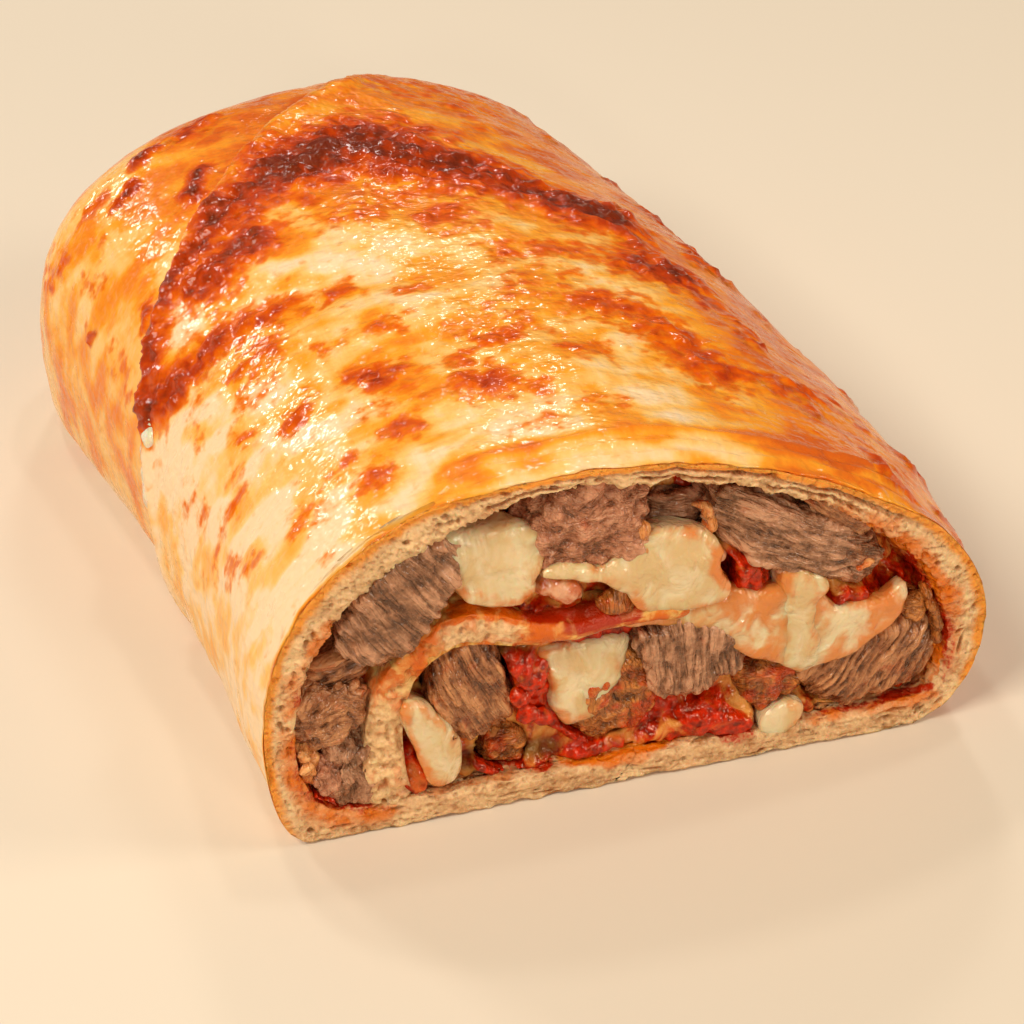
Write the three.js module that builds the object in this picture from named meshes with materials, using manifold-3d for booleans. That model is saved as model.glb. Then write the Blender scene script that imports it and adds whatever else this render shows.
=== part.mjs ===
// Half of a baked stromboli: a filled dough roll, cut once straight across.
// An outer dough shell and an inner dough fold run the whole length. Beef, melted cheese and
// tomato sauce fill the spiral hollow between them and show at the cut.
// Millimetres, +Z up, +Y along the roll away from the cut, +X to the right of the cut face.

import * as THREE from 'three';
import { mergeVertices } from 'three/addons/utils/BufferGeometryUtils.js';
import Module from 'manifold-3d';

const wasm = await Module();
wasm.setup();

// ---------- driving dimensions ----------

const GAP = 0.35; // clearance between pieces that touch
const LENGTH = 190; // from the cut to the closed end
const END_CAP = 39; // length of the rounded end
const LEAN = -36.6; // how far the closed end bends sideways
const SKEW = 0.31; // how much further the right side runs than the left
const SAG = 0.08; // drop of the top over the length
const CLOSING = { left: 2.71, right: 2.6, top: 2.23 }; // superellipse orders of the closed end
const CAP_REACH = 0.992; // share of the end's quarter turn that the last ring reaches

// Half-dome section on a flat base. apex is where left and right halves meet, waist is the
// height of the widest point, heel the width of the lower corner, power the superellipse order.
const CRUST = {
  apex: -13.2,
  top: 76.7,
  base: 0,
  left: { reach: 71, waist: 24, heel: 7.8, power: 2.29 },
  right: { reach: 70, waist: 24, heel: 14.6, power: 1.85 },
};
const HOLLOW = {
  apex: -14,
  top: 71.8,
  base: 5.6,
  left: { reach: 65.3, waist: 24, heel: 9, power: 2.02 },
  right: { reach: 62.8, waist: 20, heel: 6, power: 1.9 },
};
const END_WALL = 13; // solid dough past the hollow
const HOLLOW_CAP = 30;

// Centre line of the inner fold, from its root in the floor over to its free right end.
const FOLD_LINE = [
  [-48.2, 3], [-48.2, 20], [-44.5, 34.5], [-35, 42.3], [-25, 40.6], [-12, 38.4],
  [4, 39.8], [18, 33.2], [32, 21.4], [41, 22.6], [49.5, 28.3],
];
const FOLD_THICK_LEFT = 4.8;
const FOLD_THICK_RIGHT = 3.3;
const FOLD_END = LENGTH - 20;

// Depth of the filling behind the cut: over the floor, in the middle and under the roof.
const FILLING_DEPTH = { floor: 4.5, middle: 8, roof: 14, ripple: 1.6 };
const ROOF_FROM = 0.62; // share of the hollow's height above which the roof's depth sets in
const FLOOR_FADE = { from: 2, to: 12 }; // heights over the hollow's base where the floor's depth ends
const POOL_SPREAD = 1.6; // a pool's reach is this times the width of its bell

// Edge of the overlapping crust sheet: its distance from the cut is SEAM_Y0 + SEAM_SLOPE * turn.
const SEAM_Y0 = 144.5;
const SEAM_SLOPE = 0.73;
const SEAM_STEP = 1.8;
const SEAM_EDGE = { from: -1.5, to: 3.5 }; // distances past the edge over which the step falls
const SEAM_FADE = { from: 8, to: 24 }; // turns over which the edge dies out to the right
const SHEET_SWELL = 26; // how far back from its edge the sheet stands up

const AROUND = 1.15; // crust to a degree of turn
const SLOW_WAVES = { length: 46, height: 0.7 };
const SHORT_WAVES = { length: 17, height: 0.35 };
const CALM_EDGE = 6; // the waves grow over this distance from the cut
const UNDERSIDE = 999; // stands for the turn of points below the waist

// Blisters on the crust: [turn in degrees from the apex, distance from the cut, width, height].
const BLISTER_SQUASH = 1.5; // how much shorter along the roll than round it
const BLISTER_LIMIT = 4; // past this squared share of its half width a blister ends
const BLISTERS = [
  [-66, 91, 11, 1.3], [-55, 88, 8, 0.9], [-44, 84, 9, 0.9], [-31, 109, 13, 1.1],
  [-26, 80, 9, 0.7], [-8, 122, 14, 1.2], [6, 126, 13, 1.3], [14, 116, 12, 1.1],
  [25, 103, 13, 1], [34, 92, 12, 1.2], [33, 70, 10, 1.1], [29, 43, 12, 0.9],
  [29, 31, 10, 0.9], [-20, 45, 9, 0.7], [-38, 48, 8, 0.7], [-6, 33, 9, 0.6],
  [-64, 45, 8, 0.8], [-16, 77, 8, 0.6], [1, 46, 7, 0.6], [-24, 137, 9, 0.9],
  [-26, 156, 9, 0.9], [-38, 150, 8, 0.8], [15, 157, 12, 0.8], [50, 96, 14, 0.7],
];

// Lumps of the filling, in the cut plane. at: centre [x, z]; size: [width, height];
// tilt: degrees, positive turns the top to the left; square: 2 is oval, 5 is boxy;
// front: distance behind the cut; depth: length along the roll.
const BEEF = {
  top_left: { at: [-44.8, 51.6], size: [15.8, 30], tilt: -31, square: 4.5, front: 0.4, depth: 20 },
  top_middle: { at: [-9, 60.4], size: [23.5, 18], tilt: -9, square: 3.8, front: 2.4, depth: 17 },
  top_back: { at: [9, 54.6], size: [14.5, 9], tilt: -6, square: 3, front: 8.5, depth: 14 },
  top_right: { at: [31.6, 48.6], size: [40, 13], tilt: -33, square: 4.5, front: 1.4, depth: 18 },
  right_upper: { at: [38.4, 54.4], size: [20, 7], tilt: -37, square: 3, front: 2.4, depth: 14 },
  left_upper: { at: [-55.4, 35.2], size: [11.5, 8], tilt: 22, square: 2.6, front: 4.5, depth: 14 },
  left_middle: { at: [-58.2, 28.4], size: [15.6, 13], tilt: 15, square: 3, front: 0.8, depth: 14 },
  left_fat: { at: [-63.2, 17.6], size: [4.4, 10.6], tilt: 16, square: 2.4, front: 0.8, depth: 9 },
  left_small: { at: [-59, 13.6], size: [5.6, 8], tilt: -5, square: 2.4, front: 0.6, depth: 9 },
  left_lower: { at: [-54.4, 13.2], size: [9, 19], tilt: 10, square: 3.2, front: 1.2, depth: 16 },
  low_left: { at: [-31.4, 26.8], size: [15.4, 24], tilt: 12, square: 2.9, front: 1.8, depth: 16 },
  low_small: { at: [-25, 10.2], size: [10.8, 8], tilt: -16, square: 2.8, front: 4.2, depth: 10 },
  low_round: { at: [-3, 19.2], size: [17.8, 21.8], tilt: -25, square: 2.6, front: 2.8, depth: 16 },
  low_middle: { at: [11, 27.4], size: [19.4, 20.5], tilt: 16, square: 4.5, front: 0.8, depth: 18 },
  low_glazed: { at: [28.2, 14.8], size: [12.6, 12], tilt: 12, square: 2.8, front: 3, depth: 13 },
  low_right: { at: [48, 15.4], size: [27, 15.6], tilt: 10, square: 3.6, front: 1.2, depth: 19 },
  edge_upper: { at: [55.4, 27.6], size: [5.4, 6.2], tilt: 6, square: 2.4, front: 2.4, depth: 9 },
};
const CHEESE = {
  top_left: { at: [-29.6, 53.6], size: [22.4, 9.6], tilt: -36, square: 2.8, front: 2.6, depth: 10 },
  top_middle: { at: [7.4, 44.8], size: [23.5, 13.6], tilt: -14, square: 2.8, front: 1.6, depth: 14 },
  right_fall: { at: [32.6, 30.4], size: [9.4, 18.5], tilt: 2, square: 2.6, front: 1, depth: 10 },
  low_middle: { at: [-9.4, 24.2], size: [13.2, 17], tilt: 14, square: 2.6, front: 4.6, depth: 9 },
  low_left: { at: [-39.4, 17.8], size: [7.6, 23.5], tilt: 19, square: 2.8, front: 0.6, depth: 8 },
  low_right: { at: [29.4, 7.2], size: [8.6, 6.8], tilt: 4, square: 2.6, front: 0.8, depth: 9 },
};
const ONION = {
  left: { at: [-13.8, 48], size: [7, 8.6], tilt: 29, square: 2.2, front: 2.4, depth: 6 },
  orange: { at: [-2.8, 43.4], size: [6, 6.6], tilt: 6, square: 2.2, front: 1.6, depth: 6 },
  right: { at: [60, 25.4], size: [3, 14], tilt: 21, square: 2.4, front: 2, depth: 10 },
};
const CUT_EDGE = 3.4; // the knife leaves each lump flat up to this far from its front
// Pools of sauce, where the filling comes forward: centre [x, z], reach, distance from the cut.
const SAUCE_POOLS = [
  { at: [20.6, 45.8], reach: 8, front: 3.4 },
  { at: [40.5, 33.6], reach: 8, front: 4 },
  { at: [-21, 29.5], reach: 8, front: 3.6 },
  { at: [20.2, 11], reach: 7, front: 1.8 },
  { at: [-60, 9.5], reach: 6, front: 1.5 },
];

const CRUST_ROWS = { straight: 21, cap: 9, dome: 40, heel: 3, floor: 5 };
const HOLLOW_ROWS = { straight: 4, cap: 4, dome: 20, heel: 2, floor: 4 };
const FOLD_ROWS = { along: 5, across: 22 };
const FRONT_CELL = 7; // grid step of the filling's uneven front
const FRONT_AREA = { left: -75, bottom: -5, width: 150, height: 90 }; // what that grid covers
const LARGE_LUMP = 19; // a lump wider than this gets the finer ball
const DENTS = 0.06; // unevenness of a lump, as a share of its size
const DENT_WAVE = 1.5; // wave length of the dents, in radii
const POCKET_EASE = 1.25; // a pocket's clearance is this times GAP along the rays from its centre
const FRONT_MARGIN = 3; // cutters reach this far in front of the cut

const MATERIALS = {
  dough: { color: 0xe3a24c, roughness: 0.42, metalness: 0 },
  filling: { color: 0xb4481c, roughness: 0.35, metalness: 0 },
  beef: { color: 0x6d4a3c, roughness: 0.48, metalness: 0 },
  cheese: { color: 0xecdcab, roughness: 0.3, metalness: 0 },
  onion: { color: 0xd89a72, roughness: 0.32, metalness: 0 },
};

// ---------- seeded unevenness ----------

/** A repeatable draw of numbers from 0 to 1 (mulberry32). */
function seededDraw(seed) {
  let state = seed;
  return () => {
    state = (state + 0x6d2b79f5) | 0;
    let mixed = Math.imul(state ^ (state >>> 15), 1 | state);
    mixed = (mixed + Math.imul(mixed ^ (mixed >>> 7), 61 | mixed)) ^ mixed;
    return ((mixed ^ (mixed >>> 14)) >>> 0) / 2 ** 32;
  };
}

const WAVE_SPREAD = { least: 0.7, range: 0.6 }; // frequencies, as shares of the asked one

/** Smooth ripples over space, from -1 to 1: crossed sine waves with seeded directions. */
function ripples(seed, waveLength, count = 5) {
  const draw = seededDraw(seed);
  const waves = [];
  for (let i = 0; i < count; i += 1) {
    const heading = new THREE.Vector3(draw() - 0.5, draw() - 0.5, draw() - 0.5).normalize();
    const share = WAVE_SPREAD.least + WAVE_SPREAD.range * draw();
    heading.multiplyScalar((2 * Math.PI * share) / waveLength);
    waves.push({ heading, phase: 2 * Math.PI * draw() });
  }
  return (point) => {
    let sum = 0;
    for (const { heading, phase } of waves) sum += Math.sin(heading.dot(point) + phase);
    return sum / count;
  };
}

// ---------- the roll's section and its course ----------

/** The closed outline of a half-dome section, from the left waist over the top and round. */
function sectionOutline(section, rows, inset = 0) {
  const outline = [];
  const top = section.top - inset;
  const base = section.base + inset;
  const domePoint = (angle) => {
    const side = angle > Math.PI / 2 ? section.left : section.right;
    const sign = angle > Math.PI / 2 ? -1 : 1;
    const halfWidth = side.reach - inset - sign * section.apex;
    const bend = 2 / side.power;
    const x = section.apex + sign * halfWidth * Math.abs(Math.cos(angle)) ** bend;
    const waist = side.waist;
    return { x, z: waist + (top - waist) * Math.sin(angle) ** bend };
  };
  const heelPoint = (side, sign, drop) => {
    const x = sign * (side.reach - inset - side.heel + side.heel * Math.cos(drop));
    return { x, z: side.waist - (side.waist - base) * Math.sin(drop) };
  };
  for (let i = 0; i <= rows.dome; i += 1) {
    outline.push({ ...domePoint(Math.PI * (1 - i / rows.dome)), turn: -90 + (180 * i) / rows.dome });
  }
  for (let i = 1; i <= rows.heel; i += 1) {
    outline.push({ ...heelPoint(section.right, 1, (Math.PI / 2) * (i / rows.heel)), turn: UNDERSIDE });
  }
  const right = section.right.reach - inset - section.right.heel;
  const left = -(section.left.reach - inset - section.left.heel);
  for (let i = 1; i <= rows.floor; i += 1) {
    outline.push({ x: right + (left - right) * (i / rows.floor), z: base, turn: UNDERSIDE });
  }
  for (let i = rows.heel - 1; i >= 1; i -= 1) {
    outline.push({ ...heelPoint(section.left, -1, (Math.PI / 2) * (i / rows.heel)), turn: UNDERSIDE });
  }
  return outline;
}

/** Where a point of the flat section lies at a distance y along a roll with a rounded end. */
function carry(x, z, y, length, cap, base = 0) {
  const into = THREE.MathUtils.clamp((y - (length - cap)) / cap, 0, 1);
  const close = (power) => (1 - into ** power) ** (1 / power);
  const narrowed = x * close(x < 0 ? CLOSING.left : CLOSING.right);
  const along = y + SKEW * narrowed * (Math.max(y, 0) / length);
  const lean = LEAN * (along / LENGTH) ** 2;
  const lowered = base + (z - base) * close(CLOSING.top) * (1 - SAG * (y / LENGTH));
  return new THREE.Vector3(narrowed + (y > 0 ? lean : 0), along, lowered);
}

/** Distances along a roll: even on the straight, closing in round the end. */
function stations(start, length, cap, rows) {
  const list = [];
  for (let i = 0; i <= rows.straight; i += 1) {
    list.push(start + (length - cap - start) * (i / rows.straight));
  }
  const last = CAP_REACH * (Math.PI / 2);
  for (let i = 1; i <= rows.cap; i += 1) {
    list.push(length - cap + cap * Math.sin((last * i) / rows.cap));
  }
  return list;
}

const slowWaves = ripples(11, SLOW_WAVES.length);
const shortWaves = ripples(12, SHORT_WAVES.length);

/** Height of the crust's relief: the overlapping sheet's edge, blisters and waves. */
function crustRelief(turn, y) {
  if (turn === UNDERSIDE) return 0;
  const past = y - (SEAM_Y0 + SEAM_SLOPE * turn);
  const fade = 1 - THREE.MathUtils.smoothstep(turn, SEAM_FADE.from, SEAM_FADE.to);
  const sheet = 1 - THREE.MathUtils.smoothstep(past, SEAM_EDGE.from, SEAM_EDGE.to);
  const fromEdge = Math.exp(-((Math.max(-past, 0) / SHEET_SWELL) ** 2));
  let height = SEAM_STEP * fade * fromEdge * (sheet - 0.5);
  for (const [atTurn, atY, width, rise] of BLISTERS) {
    const across = (turn - atTurn) * AROUND;
    const along = BLISTER_SQUASH * (y - atY);
    const far = (across ** 2 + along ** 2) / (width / 2) ** 2;
    if (far < BLISTER_LIMIT) height += rise * Math.exp(-far);
  }
  const point = new THREE.Vector3(turn * AROUND, y, 0);
  const waves = SLOW_WAVES.height * slowWaves(point) + SHORT_WAVES.height * shortWaves(point);
  return height + THREE.MathUtils.smoothstep(y, 0, CALM_EDGE) * waves;
}

// ---------- solids ----------

/** A closed solid from equal rings of points, with a flat cap on each end. */
function solidFromRings(rings) {
  const around = rings[0].length;
  const last = (rings.length - 1) * around;
  const positions = rings.flat().flatMap((point) => [point.x, point.y, point.z]);
  const flat = (ring) => ring.map((point) => new THREE.Vector2(point.x, point.z));
  const clockwise = THREE.ShapeUtils.isClockWise(flat(rings[0]));
  const faces = [];
  for (let start = 0; start < last; start += around) {
    for (let i = 0; i < around; i += 1) {
      const a = start + i;
      const b = start + ((i + 1) % around);
      const [c, d] = [a + around, b + around];
      faces.push(...(clockwise ? [a, b, c, b, d, c] : [a, c, b, b, c, d]));
    }
  }
  for (const [a, b, c] of THREE.ShapeUtils.triangulateShape(flat(rings[0]), [])) {
    faces.push(a, b, c);
  }
  for (const [a, b, c] of THREE.ShapeUtils.triangulateShape(flat(rings.at(-1)), [])) {
    faces.push(last + a, last + c, last + b);
  }
  return solidFromTriangles(new Float32Array(positions), new Uint32Array(faces));
}

/** A manifold solid, turned inside out where its triangles face inward. */
function solidFromTriangles(vertProperties, triVerts) {
  const solid = new wasm.Manifold(new wasm.Mesh({ numProp: 3, vertProperties, triVerts }));
  if (solid.volume() > 0) return solid;
  const turned = triVerts.slice();
  for (let i = 0; i < turned.length; i += 3) {
    [turned[i + 1], turned[i + 2]] = [turned[i + 2], turned[i + 1]];
  }
  return new wasm.Manifold(new wasm.Mesh({ numProp: 3, vertProperties, triVerts: turned }));
}

/** The largest separate body of a solid, so that no loose scrap stays. */
function largestBody(solid) {
  const bodies = solid.decompose();
  return bodies.reduce((best, body) => (body.volume() > best.volume() ? body : best));
}

/** The whole loaf, with its crust relief. */
function loafSolid() {
  const outline = sectionOutline(CRUST, CRUST_ROWS);
  const rings = stations(0, LENGTH, END_CAP, CRUST_ROWS).map((y) =>
    outline.map((point, i) => {
      const before = outline[(i + outline.length - 1) % outline.length];
      const after = outline[(i + 1) % outline.length];
      const [dx, dz] = [after.x - before.x, after.z - before.z];
      const rise = crustRelief(point.turn, y) / Math.hypot(dx, dz);
      return carry(point.x - dz * rise, point.z + dx * rise, y, LENGTH, END_CAP);
    }),
  );
  return solidFromRings(rings);
}

/** The hollow inside the shell, open at the cut. */
function hollowSolid(inset) {
  const length = LENGTH - END_WALL - inset;
  const outline = sectionOutline(HOLLOW, HOLLOW_ROWS, inset);
  const rings = stations(-FRONT_MARGIN, length, HOLLOW_CAP, HOLLOW_ROWS).map((y) =>
    outline.map((point) => carry(point.x, point.z, y, length, HOLLOW_CAP, HOLLOW.base)),
  );
  return solidFromRings(rings);
}

/** The inner fold: a sheet of dough along FOLD_LINE, rounded at its free edge. */
function foldSolid(swell) {
  const spine = new THREE.CatmullRomCurve3(FOLD_LINE.map(([x, z]) => new THREE.Vector3(x, 0, z)));
  const upper = [];
  const lower = [];
  for (let i = 0; i <= FOLD_ROWS.across; i += 1) {
    const share = i / FOLD_ROWS.across;
    const centre = spine.getPoint(share);
    const heading = spine.getTangent(share);
    const thin = THREE.MathUtils.smoothstep(share, 0.25, 0.5);
    const half = THREE.MathUtils.lerp(FOLD_THICK_LEFT, FOLD_THICK_RIGHT, thin) / 2 + swell;
    upper.push({ x: centre.x - heading.z * half, z: centre.z + heading.x * half });
    lower.unshift({ x: centre.x + heading.z * half, z: centre.z - heading.x * half });
  }
  const tip = spine.getPoint(1);
  const ahead = spine.getTangent(1).multiplyScalar(FOLD_THICK_RIGHT / 2 + swell);
  const outline = [...upper, { x: tip.x + ahead.x, z: tip.z + ahead.z }, ...lower];
  const distances = [];
  for (let i = 0; i <= FOLD_ROWS.along; i += 1) distances.push(FOLD_END * (i / FOLD_ROWS.along));
  if (swell > 0) {
    distances.unshift(-FRONT_MARGIN);
    distances.push(FOLD_END + 2 * swell);
  }
  const rings = distances.map((y) =>
    outline.map((point) => carry(point.x, point.z, y, LENGTH, END_CAP)),
  );
  return solidFromRings(rings);
}

const frontRipples = ripples(31, 19);

/** How far behind the cut the filling starts, at a point of the cut plane. */
function fillingDepth(x, z) {
  const { floor, middle, roof, ripple } = FILLING_DEPTH;
  const halfWidth = HOLLOW.left.reach;
  const roofHeight = HOLLOW.top * Math.sqrt(Math.max(0.05, 1 - (x / halfWidth) ** 2));
  const high = THREE.MathUtils.smoothstep(z, ROOF_FROM * roofHeight, roofHeight);
  const above = z - HOLLOW.base;
  const low = 1 - THREE.MathUtils.smoothstep(above, FLOOR_FADE.from, FLOOR_FADE.to);
  let depth = middle + (roof - middle) * high + (floor - middle) * low;
  for (const { at, reach, front } of SAUCE_POOLS) {
    const near = Math.exp(-((x - at[0]) ** 2 + (z - at[1]) ** 2) / (reach / POOL_SPREAD) ** 2);
    depth = THREE.MathUtils.lerp(depth, front, near);
  }
  return depth + ripple * frontRipples(new THREE.Vector3(x, 0, z));
}

/** A block that takes everything in front of the filling's uneven front. */
function frontCutter() {
  const { left, bottom, width, height } = FRONT_AREA;
  const columns = Math.ceil(width / FRONT_CELL);
  const rows = Math.ceil(height / FRONT_CELL);
  const positions = [];
  const faces = [];
  const count = (columns + 1) * (rows + 1);
  for (const layer of [0, 1]) {
    for (let row = 0; row <= rows; row += 1) {
      for (let column = 0; column <= columns; column += 1) {
        const x = left + (width * column) / columns;
        const z = bottom + (height * row) / rows;
        positions.push(x, layer === 0 ? -2 * FRONT_MARGIN : fillingDepth(x, z), z);
      }
    }
  }
  const index = (layer, column, row) => layer * count + row * (columns + 1) + column;
  const quad = (a, b, c, d) => faces.push(a, b, c, a, c, d);
  for (let row = 0; row < rows; row += 1) {
    for (let column = 0; column < columns; column += 1) {
      const corners = [[column, row], [column + 1, row], [column + 1, row + 1], [column, row + 1]];
      quad(...corners.map(([c, r]) => index(0, c, r)));
      quad(...corners.map(([c, r]) => index(1, c, r)).reverse());
    }
  }
  const rim = [];
  for (let column = 0; column < columns; column += 1) rim.push([column, 0]);
  for (let row = 0; row < rows; row += 1) rim.push([columns, row]);
  for (let column = columns; column > 0; column -= 1) rim.push([column, rows]);
  for (let row = rows; row > 0; row -= 1) rim.push([0, row]);
  rim.forEach(([column, row], i) => {
    const [nextColumn, nextRow] = rim[(i + 1) % rim.length];
    quad(
      index(0, column, row), index(1, column, row),
      index(1, nextColumn, nextRow), index(0, nextColumn, nextRow),
    );
  });
  return solidFromTriangles(new Float32Array(positions), new Uint32Array(faces));
}

/** One uneven lump: a rounded box or ball with a flatter front, and seeded dents. */
function lumpSolid(lump, seed, swell = 0) {
  const [width, height] = lump.size;
  const ball = new THREE.IcosahedronGeometry(1, Math.max(width, height) > LARGE_LUMP ? 2 : 1);
  ball.deleteAttribute('normal');
  ball.deleteAttribute('uv');
  const geometry = mergeVertices(ball);
  const dents = ripples(seed, DENT_WAVE);
  const places = geometry.getAttribute('position');
  const point = new THREE.Vector3();
  for (let i = 0; i < places.count; i += 1) {
    point.fromBufferAttribute(places, i).normalize();
    const reach = point.y < 0 ? CUT_EDGE : lump.depth - CUT_EDGE;
    const spread = Math.abs((2 * point.x) / width) ** lump.square
      + Math.abs(point.y / reach) ** lump.square
      + Math.abs((2 * point.z) / height) ** lump.square;
    const radius = (1 + DENTS * dents(point)) * spread ** (-1 / lump.square);
    point.multiplyScalar(radius + swell * POCKET_EASE);
    places.setXYZ(i, point.x, point.y, point.z);
  }
  geometry.rotateY(THREE.MathUtils.degToRad(-lump.tilt));
  geometry.translate(lump.at[0], lump.front + CUT_EDGE, lump.at[1]);
  return solidFromTriangles(new Float32Array(places.array), new Uint32Array(geometry.index.array));
}

// ---------- assembly ----------

/** A named mesh of a solid. */
function meshOf(name, solid, material) {
  const { vertProperties, triVerts } = solid.getMesh();
  const geometry = new THREE.BufferGeometry();
  geometry.setAttribute('position', new THREE.BufferAttribute(vertProperties, 3));
  geometry.setIndex(new THREE.BufferAttribute(triVerts, 1));
  geometry.computeVertexNormals();
  const mesh = new THREE.Mesh(geometry, new THREE.MeshStandardMaterial(MATERIALS[material]));
  mesh.name = name;
  return mesh;
}

/** Lumps in their order: each is cut to the room left by the dough and by those before it. */
function lumpMeshes(room) {
  const families = [['beef', BEEF], ['cheese', CHEESE], ['onion', ONION]];
  const meshes = [];
  const pockets = [];
  let seed = 100;
  for (const [material, family] of families) {
    for (const [place, lump] of Object.entries(family)) {
      seed += 1;
      let solid = lumpSolid(lump, seed).intersect(room);
      for (const pocket of pockets) solid = solid.subtract(pocket);
      pockets.push(lumpSolid(lump, seed, GAP));
      meshes.push(meshOf(`${material}_${place}`, largestBody(solid), material));
    }
  }
  return { meshes, pockets };
}

/** The sauce and cheese mass that runs through the roll behind the lumps. */
function fillingMesh(room, pockets) {
  let solid = room.subtract(frontCutter());
  for (const pocket of pockets) solid = solid.subtract(pocket);
  return meshOf('filling', largestBody(solid), 'filling');
}

/** The half roll, standing on the ground with its box's middle at the origin. */
function buildStromboli() {
  const dough = loafSolid().subtract(hollowSolid(0)).add(foldSolid(0));
  const room = hollowSolid(GAP).subtract(foldSolid(GAP));
  const { meshes, pockets } = lumpMeshes(room);
  const stromboli = new THREE.Group();
  stromboli.add(meshOf('dough', dough, 'dough'), fillingMesh(room, pockets), ...meshes);
  const box = new THREE.Box3().setFromObject(stromboli);
  const middle = box.getCenter(new THREE.Vector3());
  stromboli.position.set(-middle.x, -middle.y, -box.min.z);
  return stromboli;
}

export default buildStromboli();
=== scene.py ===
"""Half of a baked stromboli: the crust, the crumb at the cut, the filling and the light."""
import sys

import itertools
import logging
from collections.abc import Callable
from dataclasses import dataclass
from enum import Enum

import bmesh
import bpy
import numpy as np
from mathutils import Matrix, Vector


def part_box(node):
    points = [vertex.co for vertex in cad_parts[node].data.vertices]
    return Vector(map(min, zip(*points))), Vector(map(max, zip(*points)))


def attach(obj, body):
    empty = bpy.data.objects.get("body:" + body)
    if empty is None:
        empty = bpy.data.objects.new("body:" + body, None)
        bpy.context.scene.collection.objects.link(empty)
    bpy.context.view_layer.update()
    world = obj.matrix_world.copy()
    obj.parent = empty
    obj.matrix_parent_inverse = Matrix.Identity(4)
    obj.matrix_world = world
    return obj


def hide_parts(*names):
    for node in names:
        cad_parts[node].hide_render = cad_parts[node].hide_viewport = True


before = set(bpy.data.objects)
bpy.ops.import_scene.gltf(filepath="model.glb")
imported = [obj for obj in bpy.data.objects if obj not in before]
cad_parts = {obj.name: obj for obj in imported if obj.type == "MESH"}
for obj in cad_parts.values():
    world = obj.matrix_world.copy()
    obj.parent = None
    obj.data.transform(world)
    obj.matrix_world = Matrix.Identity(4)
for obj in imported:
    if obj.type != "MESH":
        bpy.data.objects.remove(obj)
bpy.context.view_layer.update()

log = logging.getLogger("stromboli")
MM = 0.001  # one millimetre in the scene's metres

Array = np.ndarray
Pair = tuple[float, float]
Triple = tuple[float, float, float]
Size = float | Triple  # one number for all three axes, or one for each
Colour = tuple[float, float, float, float]
Socket = bpy.types.NodeSocket
Material = bpy.types.Material
Mesh = bpy.types.Mesh
Piece = bpy.types.Object

TINY = 1e-6  # the least that is divided by
SEAM_MERGE = 1e-7  # metres within which a sheet's seams are joined
NODE_MERGE = 1e-6  # metres within which the loose corners of a node are joined


class Slot(Enum):
    """The record's material slots."""

    CRUST = "crust"
    SAUCE = "sauce"
    BEEF = "beef"
    CHEESE = "cheese"
    ONION = "onion"


# ---- shared helpers


def smooth(value: Array, low: float, high: float) -> Array:
    """A soft step from 0 at low to 1 at high.

    Args:
        value: The numbers to step.
        low: Where the step starts.
        high: Where it ends; below low it steps down.

    Returns:
        Numbers from 0 to 1.
    """
    share = np.clip((value - low) / (high - low), 0.0, 1.0)
    return share * share * (3.0 - 2.0 * share)


def paint(red: int, green: int, blue: int) -> Colour:
    """A colour as seen on a screen, from 0 to 255, as the linear colour that a shader takes.

    Args:
        red: Red share.
        green: Green share.
        blue: Blue share.

    Returns:
        The linear colour with an alpha of 1.
    """
    levels = np.array([red, green, blue]) / 255.0
    linear = np.where(levels <= 0.04045, levels / 12.92, ((levels + 0.055) / 1.055) ** 2.4)
    return (*(float(level) for level in linear), 1.0)


def points_at(x: Array, y: Array | float = 0.0, z: Array | float = 0.0) -> Array:
    """Points from their three coordinates, where a plain number goes for all of them."""
    return np.stack(np.broadcast_arrays(x, y, z), axis=1)


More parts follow.
